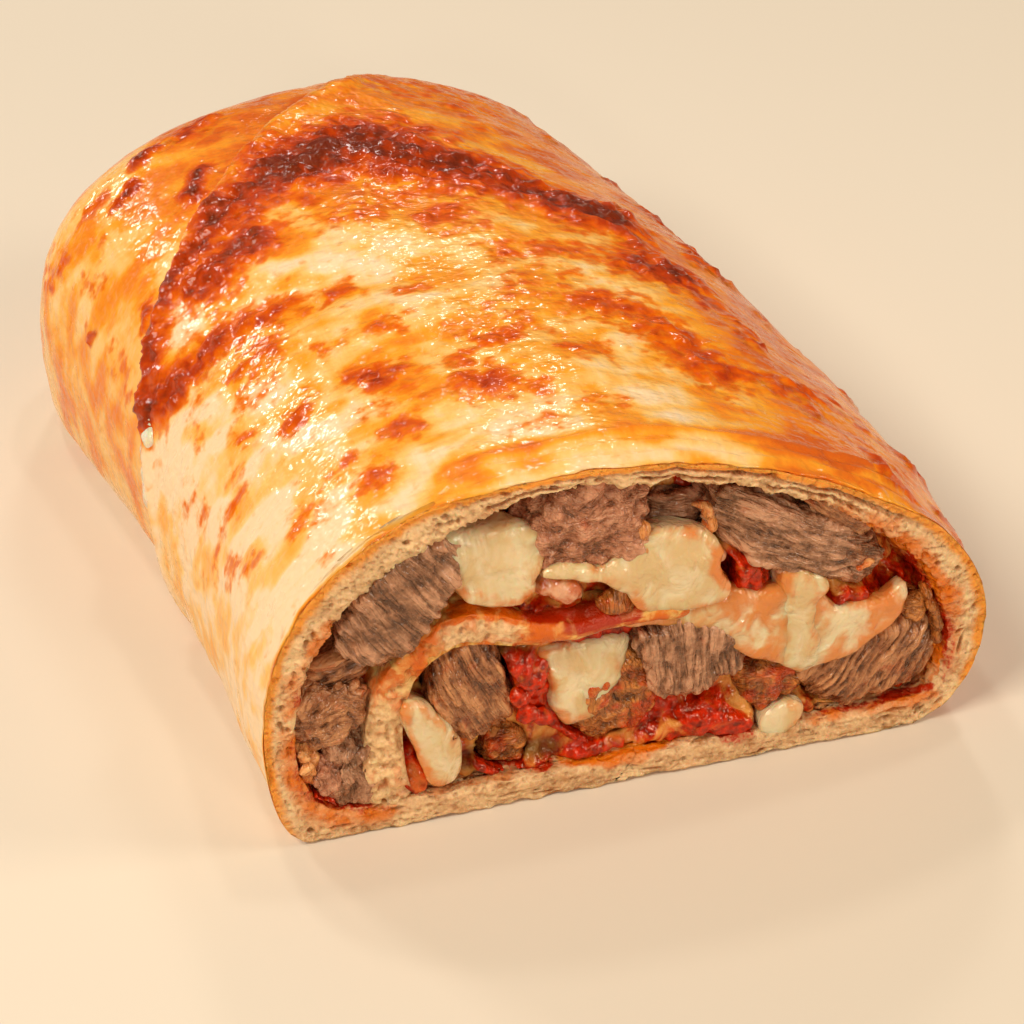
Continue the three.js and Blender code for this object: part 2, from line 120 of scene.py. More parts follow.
class Unevenness:
    """Repeatable noise over space, read for a whole array of points at once."""

    COUNT = 8192
    MIXERS = (73856093, 19349663, 83492791, 39916801, 12741261)  # large odd numbers that mix the cells
    WAVE_START = 17.3
    CELL_START = 11.9
    OCTAVE_SHIFT = 31.7
    JITTER = 0.45
    GAIN = 1.4  # brings the sum of the layers up to about -1 to 1

    def __init__(self, seed: int) -> None:
        """Draws the noise's levels.

        Args:
            seed: The same seed gives the same noise.
        """
        self.levels = np.random.default_rng(seed).uniform(-1.0, 1.0, self.COUNT)

    def corner(self, cells: Array, channel: int = 0) -> Array:
        """The drawn number of each whole-numbered cell.

        Args:
            cells: Whole numbers, three to a cell.
            channel: Which of a cell's numbers is asked for.

        Returns:
            Numbers from -1 to 1.
        """
        first, second, third, by_channel, last = self.MIXERS
        mixed = cells[:, 0] * first ^ cells[:, 1] * second ^ cells[:, 2] * third
        mixed = mixed + channel * by_channel
        mixed = (mixed ^ (mixed >> 13)) * last
        return self.levels[(mixed ^ (mixed >> 17)) & (self.COUNT - 1)]

    def at(self, points: Array, size: Size) -> Array:
        """Smooth noise.

        Args:
            points: Places, three numbers each.
            size: Length of one wave, for all axes or for each.

        Returns:
            Numbers from -1 to 1.
        """
        scaled = points / np.asarray(size) + self.WAVE_START
        cells = np.floor(scaled).astype(np.int64)
        part = scaled - cells
        ease = part * part * part * (part * (part * 6.0 - 15.0) + 10.0)
        total = np.zeros(len(scaled))
        for offset in itertools.product((0, 1), repeat=3):
            weight = np.prod(np.where(np.array(offset) == 1, ease, 1.0 - ease), axis=1)
            total += weight * self.corner(cells + np.array(offset))
        return total

    def rough(self, points: Array, size: Size, octaves: int) -> Array:
        """Noise with finer noise on top, each layer half as large and half as strong.

        Args:
            points: Places, three numbers each.
            size: Length of the longest wave.
            octaves: How many layers.

        Returns:
            Numbers of about -1 to 1.
        """
        total = np.zeros(len(points))
        for octave in range(octaves):
            shifted = points + self.OCTAVE_SHIFT * octave
            total += 0.5**octave * self.at(shifted, np.asarray(size) / 2**octave)
        return total / (2.0 - 0.5 ** (octaves - 1)) * self.GAIN

    def nodules(self, points: Array, size: Size) -> tuple[Array, Array, Array]:
        """Rounded cells packed side by side.

        Args:
            points: Places, three numbers each.
            size: Width of a cell, for all axes or for each.

        Returns:
            Distance to the nearest cell's centre, to the second nearest, and the nearest's own number.
        """
        scaled = points / np.asarray(size) + self.CELL_START
        home = np.floor(scaled).astype(np.int64)
        nearest = np.full(len(scaled), 9.0)
        second = np.full(len(scaled), 9.0)
        tag = np.zeros(len(scaled))
        for offset in itertools.product((-1, 0, 1), repeat=3):
            cell = home + np.array(offset)
            jitter = np.stack([self.corner(cell, channel) for channel in (1, 2, 3)], axis=1)
            distance = np.linalg.norm(scaled - (cell + 0.5 + self.JITTER * jitter), axis=1)
            closer = distance < nearest
            second = np.where(closer, nearest, np.minimum(second, distance))
            tag = np.where(closer, self.corner(cell, 4), tag)
            nearest = np.where(closer, distance, nearest)
        return nearest, second, tag


@dataclass(frozen=True)
class Stroke:
    """A patch or smear on a flat plane: from one point to another, with a soft ragged edge."""

    start: Pair
    end: Pair
    reach: float
    amount: float = 1.0

    def distance(self, across: Array, along: Array) -> Array:
        """Distance from the stroke's middle line.

        Args:
            across: First coordinate.
            along: Second coordinate.

        Returns:
            Distances as a share of the stroke's reach.
        """
        run = (self.end[0] - self.start[0], self.end[1] - self.start[1])
        length = max(run[0] ** 2 + run[1] ** 2, TINY)
        shift = (across - self.start[0]) * run[0] + (along - self.start[1]) * run[1]
        share = np.clip(shift / length, 0.0, 1.0)
        off = np.hypot(across - self.start[0] - share * run[0], along - self.start[1] - share * run[1])
        return off / self.reach

    def cover(self, across: Array, along: Array, ragged: Array) -> Array:
        """How strongly the stroke covers each point, with an edge that soon fades.

        Args:
            across: First coordinate.
            along: Second coordinate.
            ragged: Shifts the edge, as a share of the reach.

        Returns:
            Numbers from 0 to the stroke's amount.
        """
        return self.amount * (1.0 - smooth(self.distance(across, along) + ragged, 0.45, 1.25))

    def glow(self, across: Array, along: Array, ragged: Array) -> Array:
        """As cover, but strongest in the middle and fading slowly outwards."""
        far = np.maximum(self.distance(across, along) * (1.0 + ragged), 0.0)
        return self.amount * np.exp(-(far**1.7))


def strokes(*rows: tuple[float, ...]) -> tuple[Stroke, ...]:
    """Strokes from rows of numbers: both coordinates of start and end, the reach and the amount."""
    return tuple(Stroke((a, b), (c, d), reach, amount) for a, b, c, d, reach, amount in rows)


def cover_of(patches: tuple[Stroke, ...], across: Array, along: Array, ragged: Array) -> Array:
    """The strongest cover that any stroke gives.

    Args:
        patches: The strokes.
        across: First coordinate.
        along: Second coordinate.
        ragged: Shifts the edges, as a share of each reach.

    Returns:
        Numbers from 0 to 1.
    """
    total = np.zeros(len(across))
    for stroke in patches:
        total = np.maximum(total, stroke.cover(across, along, ragged))
    return total


# ---- the roll's form


HEEL_TURN = 25.0  # how much of the turn the lower corner takes, in degrees
SLOPE_STEP = 0.8  # degrees to each side over which the outline's slope is taken


def wrapped(turn: Array) -> Array:
    """A turn in degrees, brought to between -180 and 180."""
    return (turn + 180.0) % 360.0 - 180.0


@dataclass(frozen=True)
class Side:
    """One half of a half-dome section, in millimetres."""

    reach: float
    waist: float
    heel: float
    power: float


@dataclass(frozen=True)
class Section:
    """A half-dome section on a flat base, in millimetres."""

    apex: float
    top: float
    base: float
    left: Side
    right: Side

    def outline(self, turn: Array, inset: Array | float = 0.0) -> tuple[Array, Array]:
        """Places round the section.

        Args:
            turn: -90 is the left waist, 0 the top, 90 the right waist and 180 the underside.
            inset: How far inside the outline, in millimetres.

        Returns:
            x and z in millimetres.
        """
        swing = np.radians(np.clip(turn, -90.0, 90.0))
        is_left = turn < 0.0
        sign = np.where(is_left, -1.0, 1.0)

        def pick(left: float, right: float) -> Array:
            """The left side's measure left of the top, the right side's elsewhere."""
            return np.where(is_left, left, right)

        reach = pick(self.left.reach, self.right.reach) - inset
        bend = 2.0 / pick(self.left.power, self.right.power)
        waist = pick(self.left.waist, self.right.waist)
        heel = pick(self.left.heel, self.right.heel)
        dome_x = self.apex + (sign * reach - self.apex) * np.abs(np.sin(swing)) ** bend
        dome_z = waist + (self.top - inset - waist) * np.abs(np.cos(swing)) ** bend
        drop = np.clip((np.abs(turn) - 90.0) / HEEL_TURN, 0.0, 1.0) * np.pi / 2.0
        low = self.base + inset
        heel_x = sign * (reach - heel + heel * np.cos(drop))
        heel_z = waist - (waist - low) * np.sin(drop)
        right_end = self.right.reach - inset - self.right.heel
        left_end = self.left.heel + inset - self.left.reach
        floor_turn = 2.0 * (90.0 - HEEL_TURN)
        past = np.where(is_left, turn + 270.0 - HEEL_TURN, turn - 90.0 - HEEL_TURN)
        floor_x = right_end + (left_end - right_end) * np.clip(past / floor_turn, 0.0, 1.0)
        on_dome = np.abs(turn) <= 90.0
        on_heel = np.abs(turn) <= 90.0 + HEEL_TURN
        x = np.where(on_dome, dome_x, np.where(on_heel, heel_x, floor_x))
        z = np.where(on_dome, dome_z, np.where(on_heel, heel_z, low))
        return x, z

    def offset(self, turn: Array, rise: Array, inset: Array | float = 0.0) -> tuple[Array, Array]:
        """Places round the section, moved outwards.

        Args:
            turn: As for outline.
            rise: How far outwards, in millimetres.
            inset: As for outline.

        Returns:
            x and z in millimetres.
        """
        x, z = self.outline(turn, inset)
        before_x, before_z = self.outline(wrapped(turn - SLOPE_STEP), inset)
        after_x, after_z = self.outline(wrapped(turn + SLOPE_STEP), inset)
        run_x, run_z = after_x - before_x, after_z - before_z
        length = np.maximum(np.hypot(run_x, run_z), TINY)
        return x - rise * run_z / length, z + rise * run_x / length


@dataclass(frozen=True)
class Roll:
    """The course of the roll: it leans to the left and closes in a rounded end. Millimetres."""

    length: float = 190.0
    end_cap: float = 39.0
    lean: float = -36.6
    skew: float = 0.31
    sag: float = 0.08
    left_closing: float = 2.71
    right_closing: float = 2.6
    top_closing: float = 2.23
    end_wall: float = 13.0
    hollow_cap: float = 30.0
    leftmost: float = 90.12  # from the cut's middle to the closed end's leftmost point
    crust: Section = Section(-13.2, 76.7, 0.0, Side(71.0, 24.0, 7.8, 2.29), Side(70.0, 24.0, 14.6, 1.85))
    hollow: Section = Section(-14.0, 71.8, 5.6, Side(65.3, 24.0, 9.0, 2.02), Side(62.8, 20.0, 6.0, 1.9))

    def carry(self, x: Array, z: Array, y: Array, length: float, cap: float, base: float = 0.0) -> Array:
        """Where points of the flat section lie at a distance along the roll.

        Args:
            x: Across the section.
            z: Up the section.
            y: Distance from the cut.
            length: Where the shape closes.
            cap: Length of its rounded end.
            base: Height that it closes down to.

        Returns:
            Points in millimetres, the cut's middle at 0.
        """
        into = np.clip((y - (length - cap)) / cap, 0.0, 1.0)

        def close(power: float) -> Array:
            """What is left of the section's size in the rounded end."""
            return np.maximum(1.0 - into**power, 0.0) ** (1.0 / power)

        narrowed = x * np.where(x < 0.0, close(self.left_closing), close(self.right_closing))
        along = y + self.skew * narrowed * (np.maximum(y, 0.0) / length)
        lean = np.where(y > 0.0, self.lean * (along / self.length) ** 2, 0.0)
        lowered = base + (z - base) * close(self.top_closing) * (1.0 - self.sag * (y / self.length))
        return points_at(narrowed + lean, along, lowered)

    def on_crust(self, turn: Array, y: Array, rise: Array | float = 0.0) -> Array:
        """Points on the crust, moved outwards by rise."""
        x, z = self.crust.offset(turn, rise + 0.0 * turn)
        return self.carry(x, z, y, self.length, self.end_cap)

    def in_hollow(self, turn: Array, y: Array, rise: Array | float = 0.0) -> Array:
        """Points on the hollow's wall, moved outwards by rise."""
        x, z = self.hollow.offset(turn, rise + 0.0 * turn)
        length = self.length - self.end_wall
        return self.carry(x, z, y, length, self.hollow_cap, self.hollow.base)

    def origin(self) -> Array:
        """The cut's middle on the ground, in metres, read from the frame."""
        low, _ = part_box("dough")
        return np.array([low[0] + self.leftmost * MM, low[1], low[2]])

    def placed(self, points: Array) -> Array:
        """Points in millimetres from the cut's middle, as metres in the frame."""
        return points * MM + self.origin()

    def local(self, points: Array) -> Array:
        """Metres in the frame, as millimetres from the cut's middle."""
        return (points - self.origin()) / MM


ROLL = Roll()


def into_scene(name: str, data: bpy.types.ID) -> bpy.types.Object:
    """Puts a new object that holds the data into the scene.

    Args:
        name: The object's name.
        data: Its mesh, light or camera.

    Returns:
        The object.
    """
    thing = bpy.data.objects.new(name, data)
    bpy.context.scene.collection.objects.link(thing)
    return thing


@dataclass(frozen=True)
class View:
    """The photograph's view, in millimetres from the cut's middle."""

    place: Triple = (-131.67, -372.32, 363.43)
    right: Triple = (0.961, -0.2766, 0.0)
    up: Triple = (0.1672, 0.5809, 0.7966)
    forward: Triple = (0.2203, 0.7656, -0.6044)
    lens: float = 98.44
    sensor: float = 36.0
    near_clip: float = 0.01  # in metres, unlike the rest

    def on_cut(self, points: Array) -> tuple[Array, Array]:
        """Where points behind the cut are seen on the plane of the cut.

        Args:
            points: Points in millimetres.

        Returns:
            x and z on the cut's plane, in millimetres.
        """
        eye = np.array(self.place)
        share = -eye[1] / (points[:, 1] - eye[1])
        seen = eye + (points - eye) * share[:, None]
        return seen[:, 0], seen[:, 2]

    def behind(self, x: Array, z: Array, y: Array) -> Array:
        """Points that are seen at x, z on the plane of the cut and lie y behind it."""
        eye = np.array(self.place)
        seen = points_at(x, 0.0, z)
        return eye + (seen - eye) * ((y - eye[1]) / -eye[1])[:, None]

    def set_camera(self) -> None:
        """Puts the camera into the scene, as the scene's own."""
        data = bpy.data.cameras.new("camera")
        data.lens = self.lens
        data.sensor_width = self.sensor
        data.clip_start = self.near_clip
        camera = into_scene("camera", data)
        axes = Matrix((self.right, self.up, tuple(-part for part in self.forward))).transposed()
        camera.matrix_world = axes.to_4x4()
        camera.location = ROLL.placed(np.array([self.place]))[0]
        bpy.context.scene.camera = camera


VIEW = View()


# ---- pieces and meshes


def add_piece(mesh: Mesh, finish: Material, stands_for: tuple[str, ...] = ()) -> Piece:
    """Dresses a mesh and puts it into the scene as a piece of the object, under the mesh's name.

    Args:
        mesh: The piece's mesh, in metres in the frame.
        finish: Its material.
        stands_for: The nodes that it replaces.

    Returns:
        The piece.
    """
    mesh.materials.append(finish)
    piece = into_scene(mesh.name, mesh)
    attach(piece, "root")
    if stands_for:
        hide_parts(*stands_for)
    return piece


def places_of(mesh: Mesh) -> Array:
    """The mesh's points, three numbers each."""
    flat = np.empty(len(mesh.vertices) * 3)
    mesh.vertices.foreach_get("co", flat)
    return flat.reshape(-1, 3)


def normals_of(mesh: Mesh) -> Array:
    """The mesh's normals at its points."""
    flat = np.empty(len(mesh.vertices) * 3)
    mesh.vertex_normals.foreach_get("vector", flat)
    return flat.reshape(-1, 3)


def local_places(mesh: Mesh) -> Array:
    """The mesh's points, in millimetres from the cut's middle."""
    return ROLL.local(places_of(mesh))


def move_points(mesh: Mesh, places: Array) -> None:
    """Puts the mesh's points in new places, in millimetres from the cut's middle."""
    mesh.vertices.foreach_set("co", ROLL.placed(places).astype(np.float32).ravel())
    mesh.update()


def keep_numbers(mesh: Mesh, numbers: dict[str, Array]) -> None:
    """Keeps numbers at the mesh's points, for its material.

    Args:
        mesh: The mesh.
        numbers: For each name, one number or three to a point.
    """
    for name, values in numbers.items():
        kind, field = ("FLOAT", "value") if values.ndim == 1 else ("FLOAT_VECTOR", "vector")
        layer = mesh.attributes.new(name, kind, "POINT")
        layer.data.foreach_set(field, values.astype(np.float32).ravel())


def mesh_of(shape: bmesh.types.BMesh, name: str) -> Mesh:
    """A new mesh from a bmesh.

    Args:
        shape: The bmesh. It is used up.
        name: The mesh's name.

    Returns:
        The mesh.
    """
    mesh = bpy.data.meshes.new(name)
    shape.to_mesh(mesh)
    shape.free()
    return mesh


def soften(mesh: Mesh) -> None:
    """Shades every face of the mesh smooth."""
    mesh.polygons.foreach_set("use_smooth", np.ones(len(mesh.polygons), dtype=bool))


@dataclass(frozen=True)
class Patch:
    """What a sheet of points is laid out as: its places and the numbers kept at its points."""

    places: Array
    attributes: dict[str, Array]


def lay_sheet(name: str, columns: int, rows: int, lay: Callable[[Array, Array], Patch]) -> Mesh:
    """A mesh from one grid whose points are laid out by a function, then closed at its seams.

    Args:
        name: The mesh's name.
        columns: Faces along the first axis.
        rows: Faces along the second.
        lay: Gives the Patch for each point's two shares from 0 to 1.

    Returns:
        The closed mesh, its faces pointing out.
    """
    shape = bmesh.new()
    bmesh.ops.create_grid(shape, x_segments=columns, y_segments=rows, size=0.5)
    mesh = bpy.data.meshes.new(name)
    shape.to_mesh(mesh)
    flat = places_of(mesh) + 0.5
    across = np.round(flat[:, 0] * columns) / columns
    along = np.round(flat[:, 1] * rows) / rows
    patch = lay(across, along)
    move_points(mesh, patch.places)
    keep_numbers(mesh, patch.attributes)
    shape.clear()
    shape.from_mesh(mesh)
    bmesh.ops.remove_doubles(shape, verts=shape.verts, dist=SEAM_MERGE)
    bmesh.ops.recalc_face_normals(shape, faces=shape.faces)
    shape.to_mesh(mesh)
    shape.free()
    soften(mesh)
    return mesh


def copy_node(node: str, name: str) -> Mesh:
    """A merged copy of a node's mesh.

    Args:
        node: The node.
        name: The copy's name.

    Returns:
        The copy.
    """
    shape = bmesh.new()
    shape.from_mesh(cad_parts[node].data)
    bmesh.ops.remove_doubles(shape, verts=shape.verts, dist=NODE_MERGE)
    return mesh_of(shape, name)


def even_mesh(mesh: Mesh, cell: float, relax: int) -> Mesh:
    """The same closed shape in small even faces, with its edges a little rounded.

    Args:
        mesh: A closed mesh. It is used up.
        cell: Width of a face, in millimetres.
        relax: How many times the points are smoothed.

    Returns:
        The new mesh.
    """
    holder = into_scene("holder", mesh)
    remesh = holder.modifiers.new("even", "REMESH")
    remesh.mode = "VOXEL"
    remesh.voxel_size = cell * MM
    graph = bpy.context.evaluated_depsgraph_get()
    even = bpy.data.meshes.new_from_object(holder.evaluated_get(graph))
    name = mesh.name
    bpy.data.objects.remove(holder)
    bpy.data.meshes.remove(mesh)
    even.name = name
    shape = bmesh.new()
    shape.from_mesh(even)
    for _ in range(relax):
        bmesh.ops.smooth_vert(
            shape, verts=shape.verts, factor=0.5, use_axis_x=True, use_axis_y=True, use_axis_z=True
        )
    shape.to_mesh(even)
    shape.free()
    soften(even)
    return even


@dataclass(frozen=True)
class Ball:
    """One of the balls that a lump is run together from. Millimetres and degrees."""

    place: Triple
    size: Triple
    tilt: float = 0.0


def run_together(name: str, balls: tuple[Ball, ...], cell: float, relax: int) -> Mesh:
    """One soft closed shape made of several balls.

    Args:
        name: The mesh's name.
        balls: The balls.
        cell: Width of a face, in millimetres.
        relax: How many times the shape is smoothed.

    Returns:
        The mesh.
    """
    shape = bmesh.new()
    for ball in balls:
        middle = Matrix.Translation(Vector(ROLL.placed(np.array(ball.place))))
        turned = Matrix.Rotation(-np.radians(ball.tilt), 4, "Y")
        sized = Matrix.Diagonal((*(0.5 * MM * part for part in ball.size), 1.0))
        bmesh.ops.create_icosphere(shape, subdivisions=3, radius=1.0, matrix=middle @ turned @ sized)
    return even_mesh(mesh_of(shape, name), cell, relax)


def held_behind(depth: Array, front: float, give: float = 0.6) -> Array:
    """Depths eased back so that none comes in front of the cut.

    Args:
        depth: Distances from the cut, in millimetres.
        front: The least distance.
        give: How softly they are eased.

    Returns:
        The new distances.
    """
    return front + give * np.logaddexp(0.0, (depth - front) / give)


# ---- finishes


class Recipe:
    """A material put together node by node. Every length is in millimetres."""

    def __init__(self, name: str) -> None:
        """Starts an empty material.

        Args:
            name: The material's name.
        """
        self.material = bpy.data.materials.new(name)
        self.material.use_nodes = True
        self.tree = self.material.node_tree
        self.tree.nodes.clear()
        output = self.tree.nodes.new("ShaderNodeOutputMaterial")
        self.skin = self.tree.nodes.new("ShaderNodeBsdfPrincipled")
        self.tree.links.new(self.skin.outputs["BSDF"], output.inputs["Surface"])
        self.space = self.tree.nodes.new("ShaderNodeTexCoord").outputs["Object"]

    def feed(self, socket: Socket, value: object) -> None:
        """Links a socket to another node, or sets its value.

        Args:
            socket: The socket.
            value: Another node's output, or the value.
        """
        if isinstance(value, Socket):
            self.tree.links.new(value, socket)
        else:
            socket.default_value = value

    def attribute(self, name: str, output: str = "Fac") -> Socket:
        """What is kept at the mesh's points.

        Args:
            name: The name that it is kept under.
            output: Fac for one number, Vector for three.

        Returns:
            The number or the vector.
        """
        node = self.tree.nodes.new("ShaderNodeAttribute")
        node.attribute_name = name
        return node.outputs[output]

    def spaced(self, size: Size, where: object = None) -> Socket:
        """Coordinates in which one unit is as long as size says.

        Args:
            size: Length of one unit.
            where: Other coordinates to start from.

        Returns:
            The coordinates.
        """
        node = self.tree.nodes.new("ShaderNodeMapping")
        node.vector_type = "TEXTURE"
        self.feed(node.inputs["Vector"], where or self.space)
        parts = size if isinstance(size, tuple) else (size, size, size)
        node.inputs["Scale"].default_value = tuple(part * MM for part in parts)
        return node.outputs["Vector"]

    def noise(
        self, size: Size, detail: float, rough: float = 0.55, swirl: float = 0.0, where: object = None
    ) -> Socket:
        """Soft noise from 0 to 1.

        Args:
            size: Length of one wave.
            detail: How many finer layers.
            rough: Strength of the finer layers.
            swirl: Distortion.
            where: Other coordinates to start from.

        Returns:
            The noise.
        """
        spaced = self.spaced(size, where)
        node = self.tree.nodes.new("ShaderNodeTexNoise")
        self.feed(node.inputs["Vector"], spaced)
        node.inputs["Scale"].default_value = 1.0
        node.inputs["Detail"].default_value = detail
        node.inputs["Roughness"].default_value = rough
        node.inputs["Distortion"].default_value = swirl
        return node.outputs["Fac"]

    def cells(self, size: Size) -> Socket:
        """Distance to the nearest of many scattered points, whose dips run together softly.

        Args:
            size: Length of one cell.

        Returns:
            The distance.
        """
        spaced = self.spaced(size)
        node = self.tree.nodes.new("ShaderNodeTexVoronoi")
        node.feature = "SMOOTH_F1"
        self.feed(node.inputs["Vector"], spaced)
        node.inputs["Scale"].default_value = 1.0
        return node.outputs["Distance"]

    def reckon(self, operation: str, first: object, second: object = 0.0) -> Socket:
        """Two numbers joined by an operation.

        Args:
            operation: The operation.
            first: The first number.
            second: The second, where the operation takes two.

        Returns:
            The result.
        """
        node = self.tree.nodes.new("ShaderNodeMath")
        node.operation = operation
        self.feed(node.inputs[0], first)
        self.feed(node.inputs[1], second)
        return node.outputs["Value"]

    def add(self, first: Socket, second: Socket) -> Socket:
        """The sum of two numbers."""
        return self.reckon("ADD", first, second)

    def spread(
        self, value: Socket, low: float, high: float, least: float = 0.0, most: float = 1.0
    ) -> Socket:
        """A number's range, spread softly over another.

        Args:
            value: The number.
            low: Where its range starts.
            high: Where its range ends.
            least: What low becomes.
            most: What high becomes.

        Returns:
            The new number.
        """
        node = self.tree.nodes.new("ShaderNodeMapRange")
        node.interpolation_type = "SMOOTHSTEP"
        self.feed(node.inputs["Value"], value)
        for socket, number in zip(("From Min", "From Max", "To Min", "To Max"), (low, high, least, most)):
            node.inputs[socket].default_value = number
        return node.outputs["Result"]

    def vary(self, value: Socket, least: float, most: float) -> Socket:
        """Noise, spread softly from least to most over the range that it mostly keeps to."""
        return self.spread(value, 0.3, 0.7, least, most)

    def ramp(self, value: Socket, stops: tuple[tuple[float, Colour], ...]) -> Socket:
        """A colour for each number.

        Args:
            value: The number.
            stops: Pairs of a number and its colour, in order.

        Returns:
            The colour.
        """
        node = self.tree.nodes.new("ShaderNodeValToRGB")
        self.feed(node.inputs["Fac"], value)
        bands = node.color_ramp.elements
        while len(bands) < len(stops):
            bands.new(1.0)
        for band, (position, _) in zip(bands, stops):
            band.position = position
        for band, (_, colour) in zip(bands, stops):
            band.color = colour
        return node.outputs["Color"]

    def blend(self, share: object, first: object, second: object, kind: str = "MIX") -> Socket:
        """One colour over another.

        Args:
            share: How much of the second.
            first: The colour below.
            second: The colour on top.
            kind: How they are joined.

        Returns:
            The colour.
        """
        node = self.tree.nodes.new("ShaderNodeMix")
        node.data_type = "RGBA"
        node.blend_type = kind
        self.feed(node.inputs["Factor"], share)
        sockets = [socket for socket in node.inputs if socket.type == "RGBA"]
        self.feed(sockets[0], first)
        self.feed(sockets[1], second)
        return next(socket for socket in node.outputs if socket.type == "RGBA")

    def bump(self, height: Socket, depth: float, below: object = None) -> Socket:
        """A surface raised by a height.

        Args:
            height: The height, from 0 to 1.
            depth: How many millimetres 1 stands for.
            below: A surface that is raised already.

        Returns:
            The raised surface.
        """
        node = self.tree.nodes.new("ShaderNodeBump")
        node.inputs["Distance"].default_value = depth * MM
        self.feed(node.inputs["Height"], height)
        if below:
            self.feed(node.inputs["Normal"], below)
        return node.outputs["Normal"]

    def finish(
        self, colour: object, roughness: object, normal: object = None, **constant: object
    ) -> Material:
        """Connects the shader.

        Args:
            colour: The base colour.
            roughness: The roughness.
            normal: The raised surface.
            constant: Values that are the same all over, under the sockets' names with _ for spaces.

        Returns:
            The material.
        """
        self.feed(self.skin.inputs["Base Color"], colour)
        self.feed(self.skin.inputs["Roughness"], roughness)
        if normal:
            self.feed(self.skin.inputs["Normal"], normal)
            self.feed(self.skin.inputs["Coat Normal"], normal)
        for name, value in constant.items():
            self.skin.inputs[name.replace("_", " ")].default_value = value
        return self.material


WARM_SHINE = paint(255, 214, 150)  # the dull part of the shine takes the food's own warmth


@dataclass(frozen=True)
class CrustFinish:
    """Baked skin: cream to golden to orange, scorched red-brown, glossy and finely crinkled."""

    cream: Colour = paint(247, 209, 160)
    pale_gold: Colour = paint(248, 190, 104)
    golden: Colour = paint(246, 158, 40)
    orange: Colour = paint(236, 124, 26)
    tan: Colour = paint(216, 96, 20)
    toasted: Colour = paint(248, 162, 28)
    amber: Colour = paint(234, 122, 8)
    burnt_orange: Colour = paint(222, 90, 2)
    red_brown: Colour = paint(186, 56, 4)
    dark: Colour = paint(118, 36, 10)

    def make(self) -> Material:
        """Builds the material.

        Returns:
            The material.
        """
        recipe = Recipe("baked_crust")
        patches = recipe.noise((11.5, 7.5, 11.5), 2.0, 0.4, 0.2)
        mottle = recipe.noise((4.6, 3.4, 4.6), 3.0, 0.55, 0.3)
        streaks = recipe.noise((1.8, 15.0, 1.8), 3.0, 0.55)
        fine = recipe.noise((1.3, 1.1, 1.3), 2.0, 0.5)
        bubbles = recipe.reckon("SUBTRACT", 1.0, recipe.cells((2.9, 2.2, 2.9)))
        browning = recipe.attribute("browning")
        uneven = recipe.add(recipe.attribute("tone"), recipe.spread(patches, 0.38, 0.68, -0.17, 0.3))
        uneven = recipe.add(uneven, recipe.vary(streaks, -0.04, 0.04))
        ground = recipe.ramp(
            uneven,
            (
                (0.04, self.cream), (0.26, self.pale_gold), (0.5, self.golden),
                (0.75, self.orange), (1.0, self.tan),
            ),
        )
        heat = recipe.add(browning, recipe.vary(mottle, -0.13, 0.13))
        heat = recipe.add(heat, recipe.vary(fine, -0.03, 0.03))
        heat = recipe.add(heat, recipe.spread(bubbles, 0.35, 0.85, -0.07, 0.07))
        scorch = recipe.ramp(
            heat,
            (
                (0.1, self.toasted), (0.28, self.amber), (0.46, self.burnt_orange),
                (0.68, self.red_brown), (0.95, self.dark),
            ),
        )
        colour = recipe.blend(recipe.spread(heat, 0.08, 0.36), ground, scorch)
        gleam = recipe.reckon("MULTIPLY", recipe.attribute("gleam"), 0.1)
        roughness = recipe.reckon("SUBTRACT", recipe.vary(mottle, 0.28, 0.44), gleam)
        crinkle = recipe.noise((2.2, 1.7, 2.2), 1.0, 0.5)
        blisters = recipe.reckon("MULTIPLY", bubbles, recipe.spread(browning, 0.1, 0.7, 0.2, 1.0))
        normal = recipe.bump(blisters, 1.3, recipe.bump(crinkle, 0.42, recipe.bump(fine, 0.05)))
        return recipe.finish(
            colour, roughness, normal, Specular_IOR_Level=0.22, Specular_Tint=WARM_SHINE,
            Coat_Weight=0.28, Coat_Roughness=0.05, Subsurface_Weight=0.06, Subsurface_Scale=0.002,
        )


